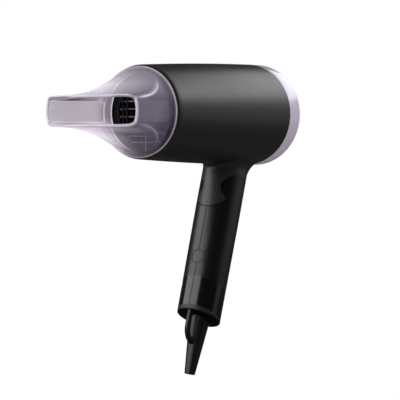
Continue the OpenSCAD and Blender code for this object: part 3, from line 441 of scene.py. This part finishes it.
# Motor and fan: a small permanent magnet motor in a cup of natural nylon with guide vanes, its
# rectifier diodes on a round board behind it, and a nine-bladed axial fan pressed on the shaft.

natural_nylon = moulded("natural_nylon", "#cbc6ba", "#dedad0", roughness=0.45, grain=1.2, depth=0.01)
glass_filled_nylon = moulded("glass_filled_nylon", "#0f0f10", "#19191a", roughness=0.5, grain=0.8,
                             depth=0.01)


def solder_masked_board():
    """Green solder mask over copper tracks: bands a millimetre wide that show as paler green."""
    material, tree, place = new_material("solder_masked_board")
    bend = add(tree, "ShaderNodeTexNoise", {"Vector": place, "Scale": 1000 / 9.0})
    track = add(tree, "ShaderNodeMath", {0: bend.outputs["Fac"], 1: 0.06}, operation="PINGPONG")
    copper = add(tree, "ShaderNodeMath", {0: track.outputs[0], 1: 0.035}, operation="GREATER_THAN")
    colour = add(tree, "ShaderNodeMix", {"Factor": copper.outputs[0], "A": linear("#1f5a30"),
                                         "B": linear("#347a45")}, data_type="RGBA")
    bump = add(tree, "ShaderNodeBump", {"Height": copper.outputs[0], "Strength": 0.4, "Distance": 0.00005})
    skin = add(tree, "ShaderNodeBsdfPrincipled", {"Base Color": colour.outputs["Result"], "Roughness": 0.35,
                                                  "Normal": bump.outputs["Normal"]})
    add(tree, "ShaderNodeOutputMaterial", {"Surface": skin.outputs["BSDF"]})
    return material


board_green = solder_masked_board()
dress(natural_nylon, "motor_mount")
dress(plated_steel, "motor_can", "motor_shaft")
dress(board_green, "rectifier_board")
dress(glass_filled_nylon, "rectifier_diodes", "fan_impeller")


# Rear ring: the lavender ring round the air inlet, moulded in ABS and sprayed with a pearl lacquer.
# It plugs into the barrel's rear and carries the inlet grille and its fine filter.

RING_DEPTH = 18.5
RING_STEP = 0.3
RING_ROUND = 3.0
RING_PLUG = 5.0
RING_PLUG_WALL = 2.3
RING_PLUG_PLAY = 0.1
RING_EDGE_ROUND = 0.4
INLET_R = 34.6
INLET_ROUND = 0.6
INLET_LEDGE = 1.8
INLET_LEDGE_T = 2.0
INLET_RECESS = 6.5
GAUZE_PITCH = 1.0
GAUZE_THREAD = 0.3
GRILLE_SEAT_X = REAR_X - RING_DEPTH + INLET_RECESS
FILTER_X = GRILLE_SEAT_X + INLET_LEDGE_T


def ring_profile():
    """Outline of the ring: plug, step, side to the big rear rounding, flat face, inlet bore and ledge."""
    end_x = REAR_X - RING_DEPTH
    plug_r = barrel_r(REAR_X + RING_PLUG) - BARREL_WALL - RING_PLUG_PLAY
    bore_r = plug_r - RING_PLUG_WALL
    ledge_r = INLET_R - INLET_LEDGE
    front_r = BARREL_REAR_R - RING_STEP
    edge_r = BARREL_REAR_R + RING_STEP
    return np.concatenate([
        [[REAR_X + RING_PLUG, plug_r], [REAR_X, plug_r], [REAR_X, front_r]],
        arc(REAR_X - RING_EDGE_ROUND, front_r, RING_EDGE_ROUND, 0, 90, 5),
        arc(end_x + RING_ROUND, edge_r - RING_ROUND, RING_ROUND, 90, 180, 24),
        arc(end_x + INLET_ROUND, INLET_R + INLET_ROUND, INLET_ROUND, 180, 270, 6),
        [[GRILLE_SEAT_X, INLET_R], [GRILLE_SEAT_X, ledge_r], [FILTER_X, ledge_r], [FILTER_X, bore_r],
         [REAR_X + RING_PLUG, bore_r]]])


def pearl_lacquer():
    """Lavender pearl lacquer: fine mica flakes under a clear coat, half metallic and slightly cloudy."""
    material, tree, place = new_material("pearl_lacquer_lavender")
    flake = add(tree, "ShaderNodeTexNoise", {"Vector": place, "Scale": 1000 / 0.6, "Detail": 2.0})
    colour = add(tree, "ShaderNodeMix", {"Factor": flake.outputs["Fac"], "A": linear("#b4a9be"),
                                         "B": linear("#cfc5d7")}, data_type="RGBA")
    skin = add(tree, "ShaderNodeBsdfPrincipled", {
        "Base Color": colour.outputs["Result"], "Roughness": 0.34, "Metallic": 0.1, "Coat Weight": 0.5,
        "Coat Roughness": 0.12})
    add(tree, "ShaderNodeOutputMaterial", {"Surface": skin.outputs["BSDF"]})
    return material


def filter_gauze():
    """Woven nylon gauze: crossed threads, drawn coarser than the real weave so that it shows."""
    material, tree, place = new_material("woven_nylon_gauze")
    axes = add(tree, "ShaderNodeSeparateXYZ", {"Vector": place})
    warp = add(tree, "ShaderNodeMath", {0: axes.outputs["Y"], 1: GAUZE_PITCH / 2000}, operation="PINGPONG")
    weft = add(tree, "ShaderNodeMath", {0: axes.outputs["Z"], 1: GAUZE_PITCH / 2000}, operation="PINGPONG")
    thread = add(tree, "ShaderNodeMath", {0: warp.outputs[0], 1: weft.outputs[0]}, operation="MINIMUM")
    hole = add(tree, "ShaderNodeMapRange", {"Value": thread.outputs[0], "From Max": GAUZE_THREAD / 1000})
    colour = add(tree, "ShaderNodeMix", {"Factor": hole.outputs["Result"], "A": linear("#4a4a4e"),
                                         "B": linear("#060606")}, data_type="RGBA")
    bump = add(tree, "ShaderNodeBump", {"Height": hole.outputs["Result"], "Strength": 0.6,
                                        "Distance": 0.0002}, invert=True)
    skin = add(tree, "ShaderNodeBsdfPrincipled", {"Base Color": colour.outputs["Result"], "Roughness": 0.6,
                                                  "Normal": bump.outputs["Normal"]})
    add(tree, "ShaderNodeOutputMaterial", {"Surface": skin.outputs["BSDF"]})
    return material


make_piece("inlet_ring", [turned(ring_profile())], pearl_lacquer(), "barrel", "lavender_pearl", "rear_ring")
dress(glass_filled_nylon, "inlet_grille")
dress(filter_gauze(), "inlet_filter")


# Nozzle: the clear lavender concentrator, moulded in tinted polycarbonate with a 2 mm wall.
# A collar meets the barrel's rim and a spigot turns in the outlet; the round body is scooped
# above and below into a slot mouth, which leaves a crescent crease on each side.

COLLAR_X = RIM_X + MOVE_GAP
COLLAR_T = 2.0
COLLAR_STEP = 0.9
COLLAR_R = BARREL_FRONT_R - COLLAR_STEP
COLLAR_ROUND = 0.8
COLLAR_CHAMFER = 0.3
NOZZLE_WALL = 2.0
NOZZLE_ROOT = 1.25
NOZZLE_ROOT_X = FRONT_X + NOZZLE_ROOT
NOZZLE_ROOT_R = 32.0
NOZZLE_LEN = 58.0
MOUTH_X = FRONT_X + NOZZLE_LEN
NOZZLE_REACH = MOUTH_X - NOZZLE_ROOT_X
MOUTH_HALF_W = 39.4
MOUTH_HALF_H = 11.2
LIP_ROUND = 1.0
LIP_POWER = 0.35
SCOOP_POWER = 0.35
NOZZLE_WAIST = 2.5
WAIST_POWER = 0.3
ROOT_CORNER = 28
MOUTH_CORNER = 10
CORNER_CROWD = 0.14
SPIGOT_PLAY = 0.06
SPIGOT_GAP = 2.0
SPIGOT_CHAMFER = 0.4
SPIGOT_R = OUTLET_R - SPIGOT_PLAY
SPIGOT_X = FRONT_X - OUTLET_DEPTH + SPIGOT_GAP
PAD_X = 84.0
PAD_GAP = 1.2
PAD_END_X = MOUTH_X - PAD_GAP
PAD_HALF_H = 7.3
PAD_T = 0.3
PAD_ROUND = 3.0
PAD_SINK = 0.6
PAD_THIN_Y = 20.0
SIDE_LIGHT_Y = 25.0
LIP_SIDE_LIGHT_Y = 35.0
FROST_X = MOUTH_X - 1.6
FULL_FROST_X = MOUTH_X - 0.9
END_LIGHT_X = SPIGOT_X + 2.0
END_LIGHT_R = SPIGOT_R - 1.4
END_LIGHT_EDGE = 0.2


def nozzle_sizes(t, wall):
    """Half width, half height and end radius of the nozzle at t from collar (0) to mouth (1), less a wall.

    The half height falls from the root's radius to the mouth's along half a cosine wave of a power of t.
    The half width grows evenly, less a waist behind the collar.
    """
    h = MOUTH_HALF_H + (NOZZLE_ROOT_R - MOUTH_HALF_H) * (1 + np.cos(np.pi * t ** SCOOP_POWER)) / 2
    waist = NOZZLE_WAIST * np.sin(np.pi * t ** WAIST_POWER) * (1 - t)
    w = NOZZLE_ROOT_R + (MOUTH_HALF_W - NOZZLE_ROOT_R) * t - waist
    return w - wall, h - wall, NOZZLE_ROOT_R - wall


def section_angles(columns=288):
    """Angles of the points round a section of the nozzle, closer together at its four corners."""
    even = np.linspace(0, 2 * np.pi, columns, endpoint=False)
    return even + CORNER_CROWD * np.sin(4 * even)


def nozzle_rings(t, wall, nose=0.0):
    """Sections of the nozzle at t, drawn in by a wall and pushed on by a nose.

    Each is a round body cut flat above and below. The corner between round and flat is sharper, the higher
    its power.
    """
    a = section_angles()
    t, wall, nose = (np.reshape(v, (-1, 1)) + np.zeros((np.size(t), 1)) for v in (t, wall, nose))
    w, h, r = nozzle_sizes(t, wall)
    power = ROOT_CORNER + (MOUTH_CORNER - ROOT_CORNER) * t
    k = (np.hypot(np.cos(a), np.sin(a) * h / r) ** power + np.abs(np.sin(a)) ** power) ** (-1 / power)
    x = NOZZLE_ROOT_X + NOZZLE_REACH * t + nose
    return np.stack([x + 0 * a, k * w * np.cos(a), k * h * np.sin(a)], axis=-1)


def round_rings(profile):
    """Circles of an (x, radius) profile, with their points at the angles of the nozzle's sections."""
    a = section_angles()
    x, r = profile[:, :1], profile[:, 1:]
    return np.stack([x + 0 * a, r * np.cos(a), r * np.sin(a)], axis=-1)


def nozzle_shell():
    """The nozzle as one closed wall: collar, outside, flat lip with rounded edges, inside, and spigot."""
    lip = LIP_ROUND / NOZZLE_REACH
    t = 0.001 + (0.999 - lip) * np.linspace(0, 1, 70) ** 2
    turn = np.radians(np.linspace(0, 180, 13))[1:-1]
    inner_r = SPIGOT_R - NOZZLE_WALL
    front = COLLAR_X + COLLAR_T
    chamfer_x = SPIGOT_X + SPIGOT_CHAMFER
    spigot = np.array([
        [front, inner_r], [chamfer_x, inner_r], [SPIGOT_X, inner_r + SPIGOT_CHAMFER],
        [SPIGOT_X, SPIGOT_R - SPIGOT_CHAMFER], [chamfer_x, SPIGOT_R], [COLLAR_X, SPIGOT_R],
        [COLLAR_X, COLLAR_R - COLLAR_CHAMFER], [COLLAR_X + COLLAR_CHAMFER, COLLAR_R]])
    rows = np.concatenate([
        round_rings(arc(front - COLLAR_ROUND, COLLAR_R - COLLAR_ROUND, COLLAR_ROUND, 90, 0, 7)),
        nozzle_rings(t, 0.0),
        nozzle_rings(np.full(len(turn), 1 - lip), LIP_ROUND * (1 - np.cos(turn)),
                     LIP_ROUND * np.sin(turn) ** LIP_POWER),
        nozzle_rings(t[::-1], NOZZLE_WALL),
        round_rings(spigot)])
    return rows.reshape(-1, 3), grid_faces(len(rows), rows.shape[1], rows_close=True)


def side_pad(side):
    """A pad on an inner side wall, from the mouth to a rounded end near the collar.

    Its face lies a little inside the ellipse of the wall and rolls off along its edge into the wall, where
    its back is sunk.
    """
    x = PAD_X + (PAD_END_X - PAD_X) * (1 - np.cos(np.linspace(0, np.pi, 80)))[:, None] / 2
    end = np.minimum(x - PAD_X, PAD_ROUND)
    half = PAD_HALF_H - PAD_ROUND + np.sqrt(PAD_ROUND ** 2 - (PAD_ROUND - end) ** 2)
    across = np.sin(np.linspace(-np.pi / 2, np.pi / 2, 41))
    z = half * across
    w, _, r = nozzle_sizes((x - NOZZLE_ROOT_X) / NOZZLE_REACH, NOZZLE_WALL)
    back = w * np.sqrt(1 - (z / r) ** 2) + PAD_SINK
    inside = np.minimum(np.minimum(half - np.abs(z), x - PAD_X), PAD_END_X - x)
    face = back - (PAD_SINK + PAD_T) * np.sqrt(1 - (1 - np.minimum(inside / PAD_T, 1)) ** 2)
    sheets = [np.stack([x + 0 * z, side * y, z], axis=-1).reshape(-1, 3) for y in (face, back)]
    return [(sheet, grid_faces(*z.shape, columns_close=False)) for sheet in sheets]


def tinted_polycarbonate():
    """Clear lavender plastic, a little milky: it bends the light in its wall and scatters part of it.

    It is painted paler towards -y, where the left soft box lights it, and darker towards +y, and it is
    milkier at a slant. The lip is frosted and also painted lighter towards -y. A painted glow comes out of
    the wall and out of the bore at the spigot's end, where no lamp is. The crease and the collar's rim
    carry a painted highlight, the inside corners beyond the pads a painted shade. The index is low, because
    a thin wall hardly shifts what is seen through it. mark_nozzle works out the attributes.
    """
    material, tree, place = new_material("tinted_polycarbonate")
    axes = add(tree, "ShaderNodeSeparateXYZ", {"Vector": place})
    edge, corner, milk, glow, end = (
        add(tree, "ShaderNodeAttribute", attribute_name=name).outputs["Fac"]
        for name in ("edge", "corner", "milk", "glow", "end"))
    lip = add(tree, "ShaderNodeMapRange", {"Value": axes.outputs["X"], "From Min": FROST_X / 1000,
                                           "From Max": FULL_FROST_X / 1000}).outputs["Result"]

    # painted light: the wall is paler towards -y, the side the left soft box lights, and darker towards +y
    side = add(tree, "ShaderNodeMapRange", {"Value": axes.outputs["Y"], "From Min": -SIDE_LIGHT_Y / 1000,
                                            "From Max": SIDE_LIGHT_Y / 1000})
    tint = add(tree, "ShaderNodeMix", {"Factor": side.outputs["Result"], "A": linear("#f2eef3"),
                                       "B": linear("#bcb2c5")}, data_type="RGBA")
    # painted light on the frosted lip: lighter towards -y, darker towards +y
    lip_side = add(tree, "ShaderNodeMapRange", {"Value": axes.outputs["Y"],
                                                "From Min": -LIP_SIDE_LIGHT_Y / 1000, "From Max": 0.0})
    lip_side_light = add(tree, "ShaderNodeMix", {"Factor": lip_side.outputs["Result"], "A": linear("#cbc2cf"),
                                           "B": linear("#b0a7b4")}, data_type="RGBA")
    colour = tint.outputs["Result"]
    # painted shade (#2f2833) in the inside corners and painted highlight (#e2d9e6) on the crease and the
    # collar's rim
    for share, other in ((lip, lip_side_light.outputs["Result"]), (corner, linear("#2f2833")),
                         (edge, linear("#e2d9e6"))):
        colour = add(tree, "ShaderNodeMix", {"Factor": share, "A": colour, "B": other},
                     data_type="RGBA").outputs["Result"]

    slant = add(tree, "ShaderNodeLayerWeight", {"Blend": 0.3})
    dense = add(tree, "ShaderNodeMapRange", {"Value": slant.outputs["Facing"], "To Min": 0.06,
                                             "To Max": 0.26})
    flow = add(tree, "ShaderNodeTexNoise", {"Vector": place, "Scale": 1000 / 25.0})
    cloudy = add(tree, "ShaderNodeMapRange", {"Value": flow.outputs["Fac"], "To Min": -0.02,
                                              "To Max": 0.02})
    for more in (dense.outputs["Result"], cloudy.outputs["Result"], lip):
        milk = add(tree, "ShaderNodeMath", {0: milk, 1: more}, operation="ADD").outputs[0]

    # painted glow: emission from the wall and from a ring at the spigot's end, none on the frosted lip
    across = add(tree, "ShaderNodeCombineXYZ", {"Y": axes.outputs["Y"], "Z": axes.outputs["Z"]})
    radius = add(tree, "ShaderNodeVectorMath", {0: across.outputs["Vector"]}, operation="LENGTH")
    for value, limit in ((axes.outputs["X"], END_LIGHT_X), (radius.outputs["Value"], END_LIGHT_R)):
        within = add(tree, "ShaderNodeMapRange", {
            "Value": value, "From Min": (limit + END_LIGHT_EDGE) / 1000,
            "From Max": (limit - END_LIGHT_EDGE) / 1000})
        end = add(tree, "ShaderNodeMath", {0: end, 1: within.outputs["Result"]},
                  operation="MULTIPLY").outputs[0]
    lit = add(tree, "ShaderNodeMath", {0: glow, 1: end}, operation="ADD")
    clear = add(tree, "ShaderNodeMath", {0: 1.0, 1: lip}, operation="SUBTRACT")
    strength = add(tree, "ShaderNodeMath", {0: lit.outputs[0], 1: clear.outputs[0]}, operation="MULTIPLY")

    haze = add(tree, "ShaderNodeBsdfPrincipled", {"Base Color": colour, "Roughness": 0.3})
    through = add(tree, "ShaderNodeBsdfRefraction", {"Color": colour, "Roughness": 0.05, "IOR": 1.25})
    wall = add(tree, "ShaderNodeMixShader", {0: milk, 1: through.outputs[0], 2: haze.outputs[0]})
    shine = add(tree, "ShaderNodeEmission", {"Color": linear("#e0dae3"), "Strength": strength.outputs[0]})
    skin = add(tree, "ShaderNodeAddShader", {0: wall.outputs[0], 1: shine.outputs[0]})
    add(tree, "ShaderNodeOutputMaterial", {"Surface": skin.outputs[0]})
    return material


def frosted_polycarbonate():
    """The same plastic with a frosted face: a soft lavender veil, cloudy over a few centimetres."""
    material, tree, place = new_material("frosted_polycarbonate")
    axes = add(tree, "ShaderNodeSeparateXYZ", {"Vector": place})
    cloud = add(tree, "ShaderNodeTexNoise", {"Vector": place, "Scale": 1000 / 25.0})
    colour = add(tree, "ShaderNodeMix", {"Factor": cloud.outputs["Fac"], "A": linear("#c0bdc0"),
                                         "B": linear("#c8c5c8")}, data_type="RGBA")
    veil = add(tree, "ShaderNodeMapRange", {"Value": cloud.outputs["Fac"], "To Min": 0.6, "To Max": 0.7})
    thin = add(tree, "ShaderNodeMapRange", {"Value": axes.outputs["Y"], "From Max": PAD_THIN_Y / 1000,
                                            "To Min": 1.0, "To Max": 0.5})
    veil = add(tree, "ShaderNodeMath", {0: veil.outputs["Result"], 1: thin.outputs["Result"]},
               operation="MULTIPLY")
    # painted glow: the pads emit a little light, most at their end near the collar, none at the mouth
    depth = add(tree, "ShaderNodeMapRange", {"Value": axes.outputs["X"], "From Min": PAD_X / 1000,
                                             "From Max": MOUTH_X / 1000, "To Min": 0.12, "To Max": 0.0})
    skin = add(tree, "ShaderNodeBsdfPrincipled", {
        "Base Color": colour.outputs["Result"], "Roughness": 0.6, "Alpha": veil.outputs[0],
        "Emission Color": linear("#e2dae7"), "Emission Strength": depth.outputs["Result"]})
    add(tree, "ShaderNodeOutputMaterial", {"Surface": skin.outputs["BSDF"]})
    return material


def between(value, start, end):
    """How far a value has come from start (0) to end (1), and no further."""
    return np.clip((value - start) / (end - start), 0, 1)


def mark_nozzle(mesh):
    """Works out the painted light and shade and the haze at each point of the nozzle, in five attributes.

    edge: a painted highlight on the rim of the collar, and on the crease between the round body and the
    flat cut as a bell curve that fades to the mouth, to the collar and below. corner: painted shade on the
    inside beyond the pads at the sides, darkest two thirds of the way to the mouth. milk: haze behind at
    +y, above and at -y, and at
    the painted highlights and shade. glow: a painted glow of the wall at -y or at the front, whichever is
    more, and a tenth of it on the inside beyond the pads. end: a painted glow at the spigot's end at -y,
    more above and below.
    """
    x, y, z = np.array([v.co for v in mesh.vertices]).T * 1000
    root = x - NOZZLE_ROOT_X
    t = np.clip(root / NOZZLE_REACH, 0.001, 1)
    w, h, r = nozzle_sizes(t, 0.0)
    # painted highlight along the crease and on the collar's rim
    crease_middle = 1 - 0.2 * t
    crease_width = 0.03 + 0.06 * t
    off_crease = np.abs(z) / h / np.hypot(y / w, z / r) - crease_middle
    fade = between(x, MOUTH_X, MOUTH_X - 15) * between(root, 3, 11) * np.where(z > 0, 1, 0.4)
    rim = (np.hypot(y, z) > COLLAR_R - COLLAR_ROUND / 2) & (x < COLLAR_X + COLLAR_T)
    edge = np.maximum(fade * np.exp(-(off_crease / crease_width) ** 2), 0.7 * rim)

    # painted shade on the inside beyond the pads
    w, h, r = nozzle_sizes(t, NOZZLE_WALL / 2)
    inside = np.maximum(np.hypot(y / w, z / r), np.abs(z) / h) < 1
    inner = inside * (root > 0) * between(np.abs(z), PAD_HALF_H - PAD_T, PAD_HALF_H + 0.5)
    dark = between(t, -0.05, 0.2) * (0.6 + 0.4 * np.exp(-((t - 0.65) / 0.28) ** 2))
    corner = inner * dark * between(np.abs(y), 14, 22) * np.where(z > 0, 0.9, 0.5)

    behind = between(root, 8, 0) * between(y, 10, 30) * between(z, -15, 0)
    above = between(z, 5, 20)
    beside = between(y, -8, -30)
    milk = 0.12 * behind + 0.05 * above + 0.12 * beside + 0.5 * edge + 0.6 * corner

    # painted glow of the wall, and painted glow at the spigot's end
    lit_side = between(y - 4 * between(z, 5, -15), 0, -28)
    low_side = between(y, -8, -18) * between(z, -4, -12)
    from_side = (0.12 + 0.28 * between(root, 2, 12)) * lit_side + 0.16 * low_side
    lit_front = between(root - 14 + 22 * between(z, -12, 12), 3, 18)
    from_front = 0.4 * lit_front * (1 - 0.9 * between(y, -20, 32))
    glow = np.maximum(from_side, from_front) * (1 - 0.9 * inner)
    end = 0.5 * (1 + 0.7 * between(np.abs(z), 12, 15)) * between(y, 0, -20) * lit_side
    for name, value in zip(("edge", "corner", "milk", "glow", "end"), (edge, corner, milk, glow, end)):
        mesh.attributes.new(name, "FLOAT", "POINT").data.foreach_set("value", value.astype(np.float32))


concentrator = make_piece("concentrator_nozzle", [nozzle_shell()], tinted_polycarbonate(),
                          "nozzle", "lavender_clear", "nozzle", crease=50)
mark_nozzle(concentrator.data)
make_piece("nozzle_pads", side_pad(1) + side_pad(-1), frosted_polycarbonate(),
           "nozzle", "lavender_clear", "nozzle")


# Handle: two black ABS shells with a parting line front and back, screwed together round the hinge.
# The upper part is satin; below a slanted line the shells are polished to a gloss. The steel
# hinge pin runs through both ears and the tongue, with a bronze washer on each side, painted dark as shade.

GLOSS_Z = -78.8
GLOSS_SLOPE = 0.28
GLOSS_EDGE = 0.3


def half_polished_abs():
    """Black ABS, satin above and polished below a slanted line across the handle."""
    material, tree, place = new_material("half_polished_abs")
    axes = add(tree, "ShaderNodeSeparateXYZ", {"Vector": place})
    across = np.array([np.cos(LEAN), np.sin(LEAN)])
    along = np.array([-np.sin(LEAN), np.cos(LEAN)])
    normal = along - GLOSS_SLOPE * across
    level = (normal @ np.array([PIN_X, PIN_Z]) + GLOSS_Z + GLOSS_SLOPE * HINGE_FRONT) / 1000
    part_x = add(tree, "ShaderNodeMath", {0: axes.outputs["X"], 1: normal[0]}, operation="MULTIPLY")
    height = add(tree, "ShaderNodeMath", {0: axes.outputs["Z"], 1: normal[1], 2: part_x.outputs[0]},
                 operation="MULTIPLY_ADD")
    satin = add(tree, "ShaderNodeMapRange", {
        "Value": height.outputs[0], "From Min": level - GLOSS_EDGE / 1000,
        "From Max": level + GLOSS_EDGE / 1000})
    pebble = add(tree, "ShaderNodeTexNoise", {"Vector": place, "Scale": 1000 / 0.5, "Detail": 2.0})
    cloud = add(tree, "ShaderNodeTexNoise", {"Vector": place, "Scale": 1000 / 30.0})
    colour = add(tree, "ShaderNodeMix", {"Factor": cloud.outputs["Fac"], "A": linear("#030304"),
                                         "B": linear("#060607")}, data_type="RGBA")
    gloss = add(tree, "ShaderNodeMapRange", {"Value": satin.outputs["Result"], "To Min": 0.19,
                                             "To Max": 0.36})
    bump = add(tree, "ShaderNodeBump", {"Height": pebble.outputs["Fac"],
                                        "Strength": satin.outputs["Result"], "Distance": 0.000002})
    skin = add(tree, "ShaderNodeBsdfPrincipled", {
        "Base Color": colour.outputs["Result"], "Roughness": gloss.outputs["Result"],
        "Normal": bump.outputs["Normal"]})
    add(tree, "ShaderNodeOutputMaterial", {"Surface": skin.outputs["BSDF"]})
    return material


dress(half_polished_abs(), "handle_left_shell", "handle_right_shell")
dress(plated_steel, "hinge_pin", "handle_screws")
# painted shade: the washers are a dark bronze so that they sit in the hinge's shade
dress(drawn_metal("shade_dark_bronze", "#2e2518", "#443724", roughness=0.45, streak=0.4), "hinge_washers")


# Controls: the cool shot button in front, flush in a round hole, and the ridged slide switch behind.
# Both work switches on one small board that stands in rails between the shells.

dress(board_green, "switch_board")
dress(glass_filled_nylon, "switch_body", "cool_shot_switch")
dress(moulded("button_abs", "#050506", "#09090a", roughness=0.36, grain=0.5, depth=0.002),
      "cool_shot_button")
dress(moulded("knob_abs", "#1a1a1b", "#222223", roughness=0.45, grain=0.5, depth=0.006), "switch_knob")


# Cord end: the matte foot cap, its sole a rough near-black that paints in shade, and the black rubber
# strain relief with its hanging loop, clamped inside the foot by a nylon bar and two screws.

FOOT_S = 172.6
FOOT_R = 17.4
FOOT_TILT = np.radians(16.5)
BAND_H = 4.7
SOLE_DROP = 2.0
SOLE_TILT = np.radians(11.2)
SOLE_ROUND = 0.8
SOLE_ROUND_PART = 0.6
SOLE_FACES_DOWN = -0.6


def foot_cap():
    """The foot: circles about the handle axis, from the slanted top of its band to a flatter sole.

    A circle of radius r rises to the front by r times the tangent of the slant. The band thins to the rear,
    and the rounding of its lower edge is held to part of what is left there.
    """
    a = np.linspace(0, 2 * np.pi, 144, endpoint=False)
    band_z = HINGE_S - FOOT_S + BAND_H
    thick = SOLE_DROP + (np.tan(FOOT_TILT) - np.tan(SOLE_TILT)) * FOOT_R * np.cos(a)
    rounding = np.minimum(SOLE_ROUND, SOLE_ROUND_PART * thick)
    b = np.radians(np.linspace(0, 90, 7))[:, None]
    top_r = np.array([[0], [FOOT_R]]) + 0 * a
    edge_r = FOOT_R - rounding * (1 - np.cos(b))
    r = np.concatenate([top_r, edge_r, 0 * a[None]])
    rise = np.concatenate([0 * top_r, rounding * (1 - np.sin(b)) - SOLE_DROP, 0 * a[None] - SOLE_DROP])
    slant = np.where(np.arange(len(r)) < len(top_r), np.tan(FOOT_TILT), np.tan(SOLE_TILT))[:, None]
    points = from_handle(r * np.cos(a) - HINGE_FRONT, r * np.sin(a), band_z + rise + slant * r * np.cos(a))
    return points.reshape(-1, 3), grid_faces(len(r), len(a))


foot = make_piece("foot_cap", [foot_cap()],
                  moulded("matte_abs", "#161617", "#1d1d1e", roughness=0.5, grain=0.6, depth=0.012),
                  "handle", "foot_black", "end_cap")
# painted shade: the down-facing sole gets the near-black rough finish
second_finish(foot, painted_shade_abs, face_values(foot, "normal")[:, 2] < SOLE_FACES_DOWN)
dress(moulded("thermoplastic_rubber", "#070707", "#0b0b0b", roughness=0.42, grain=0.9, depth=0.005),
      "strain_relief")
dress(natural_nylon, "cord_clamp")
dress(plated_steel, "cord_clamp_screws")


# Studio: a white floor and surround. As the camera sees it, a soft box stands high on the left for the
# handle and the nozzle, a long one behind on the right for the sheen along the barrel, and a dim panel on
# the right.

FLOOR_Z = -215.0
TARGET = np.array([33.03, 0.0, -80.89])
CAMERA_TURN = np.radians(32.52)
CAMERA_RISE = np.radians(3.69)
CAMERA_DISTANCE = 1000.0
CAMERA_LENS = 118.8
CAMERA_SHIFT = (0.069, 0.05)
FLOOR_HALF = 6000.0


def toward(turn, rise):
    """Unit vector at an angle turned from +X to +Y and raised from level."""
    return np.array([np.cos(rise) * np.cos(turn), np.cos(rise) * np.sin(turn), np.sin(rise)])


def aim(thing, place):
    """Puts a lamp or the camera at a place in millimetres, looking at the middle of the view."""
    thing.location = (place / 1000).tolist()
    thing.rotation_euler = Vector(((TARGET - place) / 1000).tolist()).to_track_quat("-Z", "Y").to_euler()
    bpy.context.scene.collection.objects.link(thing)


def soft_box(name, direction, distance, width, height, radiance):
    """A soft box of an even radiance, width by height in millimetres, facing the object."""
    lamp = bpy.data.lights.new(name, "AREA")
    lamp.shape = "RECTANGLE"
    lamp.size, lamp.size_y = width / 1000, height / 1000
    lamp.energy = radiance * np.pi * lamp.size * lamp.size_y
    direction = np.array(direction) / np.linalg.norm(direction)
    aim(bpy.data.objects.new(name, lamp), TARGET + distance * direction)


def white_floor():
    """A pale sheet that the camera sees as plain white."""
    material, tree, place = new_material("white_paper")
    light = add(tree, "ShaderNodeLightPath")
    fibre = add(tree, "ShaderNodeTexNoise", {"Vector": place, "Scale": 1000 / 2.0})
    colour = add(tree, "ShaderNodeMix", {"Factor": fibre.outputs["Fac"], "A": linear("#cacaca"),
                                         "B": linear("#d4d4d4")}, data_type="RGBA")
    shade = add(tree, "ShaderNodeMix", {"Factor": light.outputs["Is Glossy Ray"],
                                        "A": colour.outputs["Result"], "B": linear("#404040")},
                data_type="RGBA")
    paper = add(tree, "ShaderNodeBsdfDiffuse", {"Color": shade.outputs["Result"]})
    white = add(tree, "ShaderNodeEmission", {"Strength": 1.0})
    seen = add(tree, "ShaderNodeMath", {0: light.outputs["Is Camera Ray"],
                                        1: light.outputs["Is Transmission Ray"]}, operation="MAXIMUM")
    skin = add(tree, "ShaderNodeMixShader", {0: seen.outputs[0], 1: paper.outputs[0], 2: white.outputs[0]})
    add(tree, "ShaderNodeOutputMaterial", {"Surface": skin.outputs[0]})
    return material


floor_mesh = bpy.data.meshes.new("floor")
floor_corners = np.array([(-1, -1, 0), (1, -1, 0), (1, 1, 0), (-1, 1, 0)]) * FLOOR_HALF + (0, 0, FLOOR_Z)
floor_mesh.from_pydata((floor_corners / 1000).tolist(), [], [(0, 1, 2, 3)])
floor_mesh.materials.append(white_floor())
floor = bpy.data.objects.new("floor", floor_mesh)
bpy.context.scene.collection.objects.link(floor)

soft_box("left_box", toward(np.radians(-38), np.radians(26)), distance=1300, width=2200, height=900,
         radiance=3.2)
soft_box("rear_box", (-0.84, 0.265, 0.465), distance=3000, width=3000, height=950, radiance=3.0)
soft_box("right_panel", toward(np.radians(132), np.radians(8)), distance=1300, width=1300, height=1100,
         radiance=0.4)

world = bpy.data.worlds.new("studio")
bpy.context.scene.world = world
world.use_nodes = True
tree = world.node_tree
tree.nodes.clear()
path = add(tree, "ShaderNodeLightPath")
seen = add(tree, "ShaderNodeMath", {0: path.outputs["Is Camera Ray"],
                                    1: path.outputs["Is Transmission Ray"]}, operation="MAXIMUM")
dim = add(tree, "ShaderNodeMapRange", {"Value": path.outputs["Is Glossy Ray"], "To Min": 0.7,
                                       "To Max": 0.05})
level = add(tree, "ShaderNodeMath", {0: seen.outputs[0], 1: dim.outputs["Result"]}, operation="MAXIMUM")
sky = add(tree, "ShaderNodeBackground", {"Color": linear("#ffffff"), "Strength": level.outputs[0]})
add(tree, "ShaderNodeOutputWorld", {"Surface": sky.outputs[0]})

camera = bpy.data.cameras.new("camera")
camera.lens = CAMERA_LENS
camera.shift_x, camera.shift_y = CAMERA_SHIFT
view = bpy.data.objects.new("camera", camera)
aim(view, TARGET + CAMERA_DISTANCE * toward(CAMERA_TURN, CAMERA_RISE))
bpy.context.scene.camera = view
bpy.context.scene.view_settings.view_transform = "Standard"
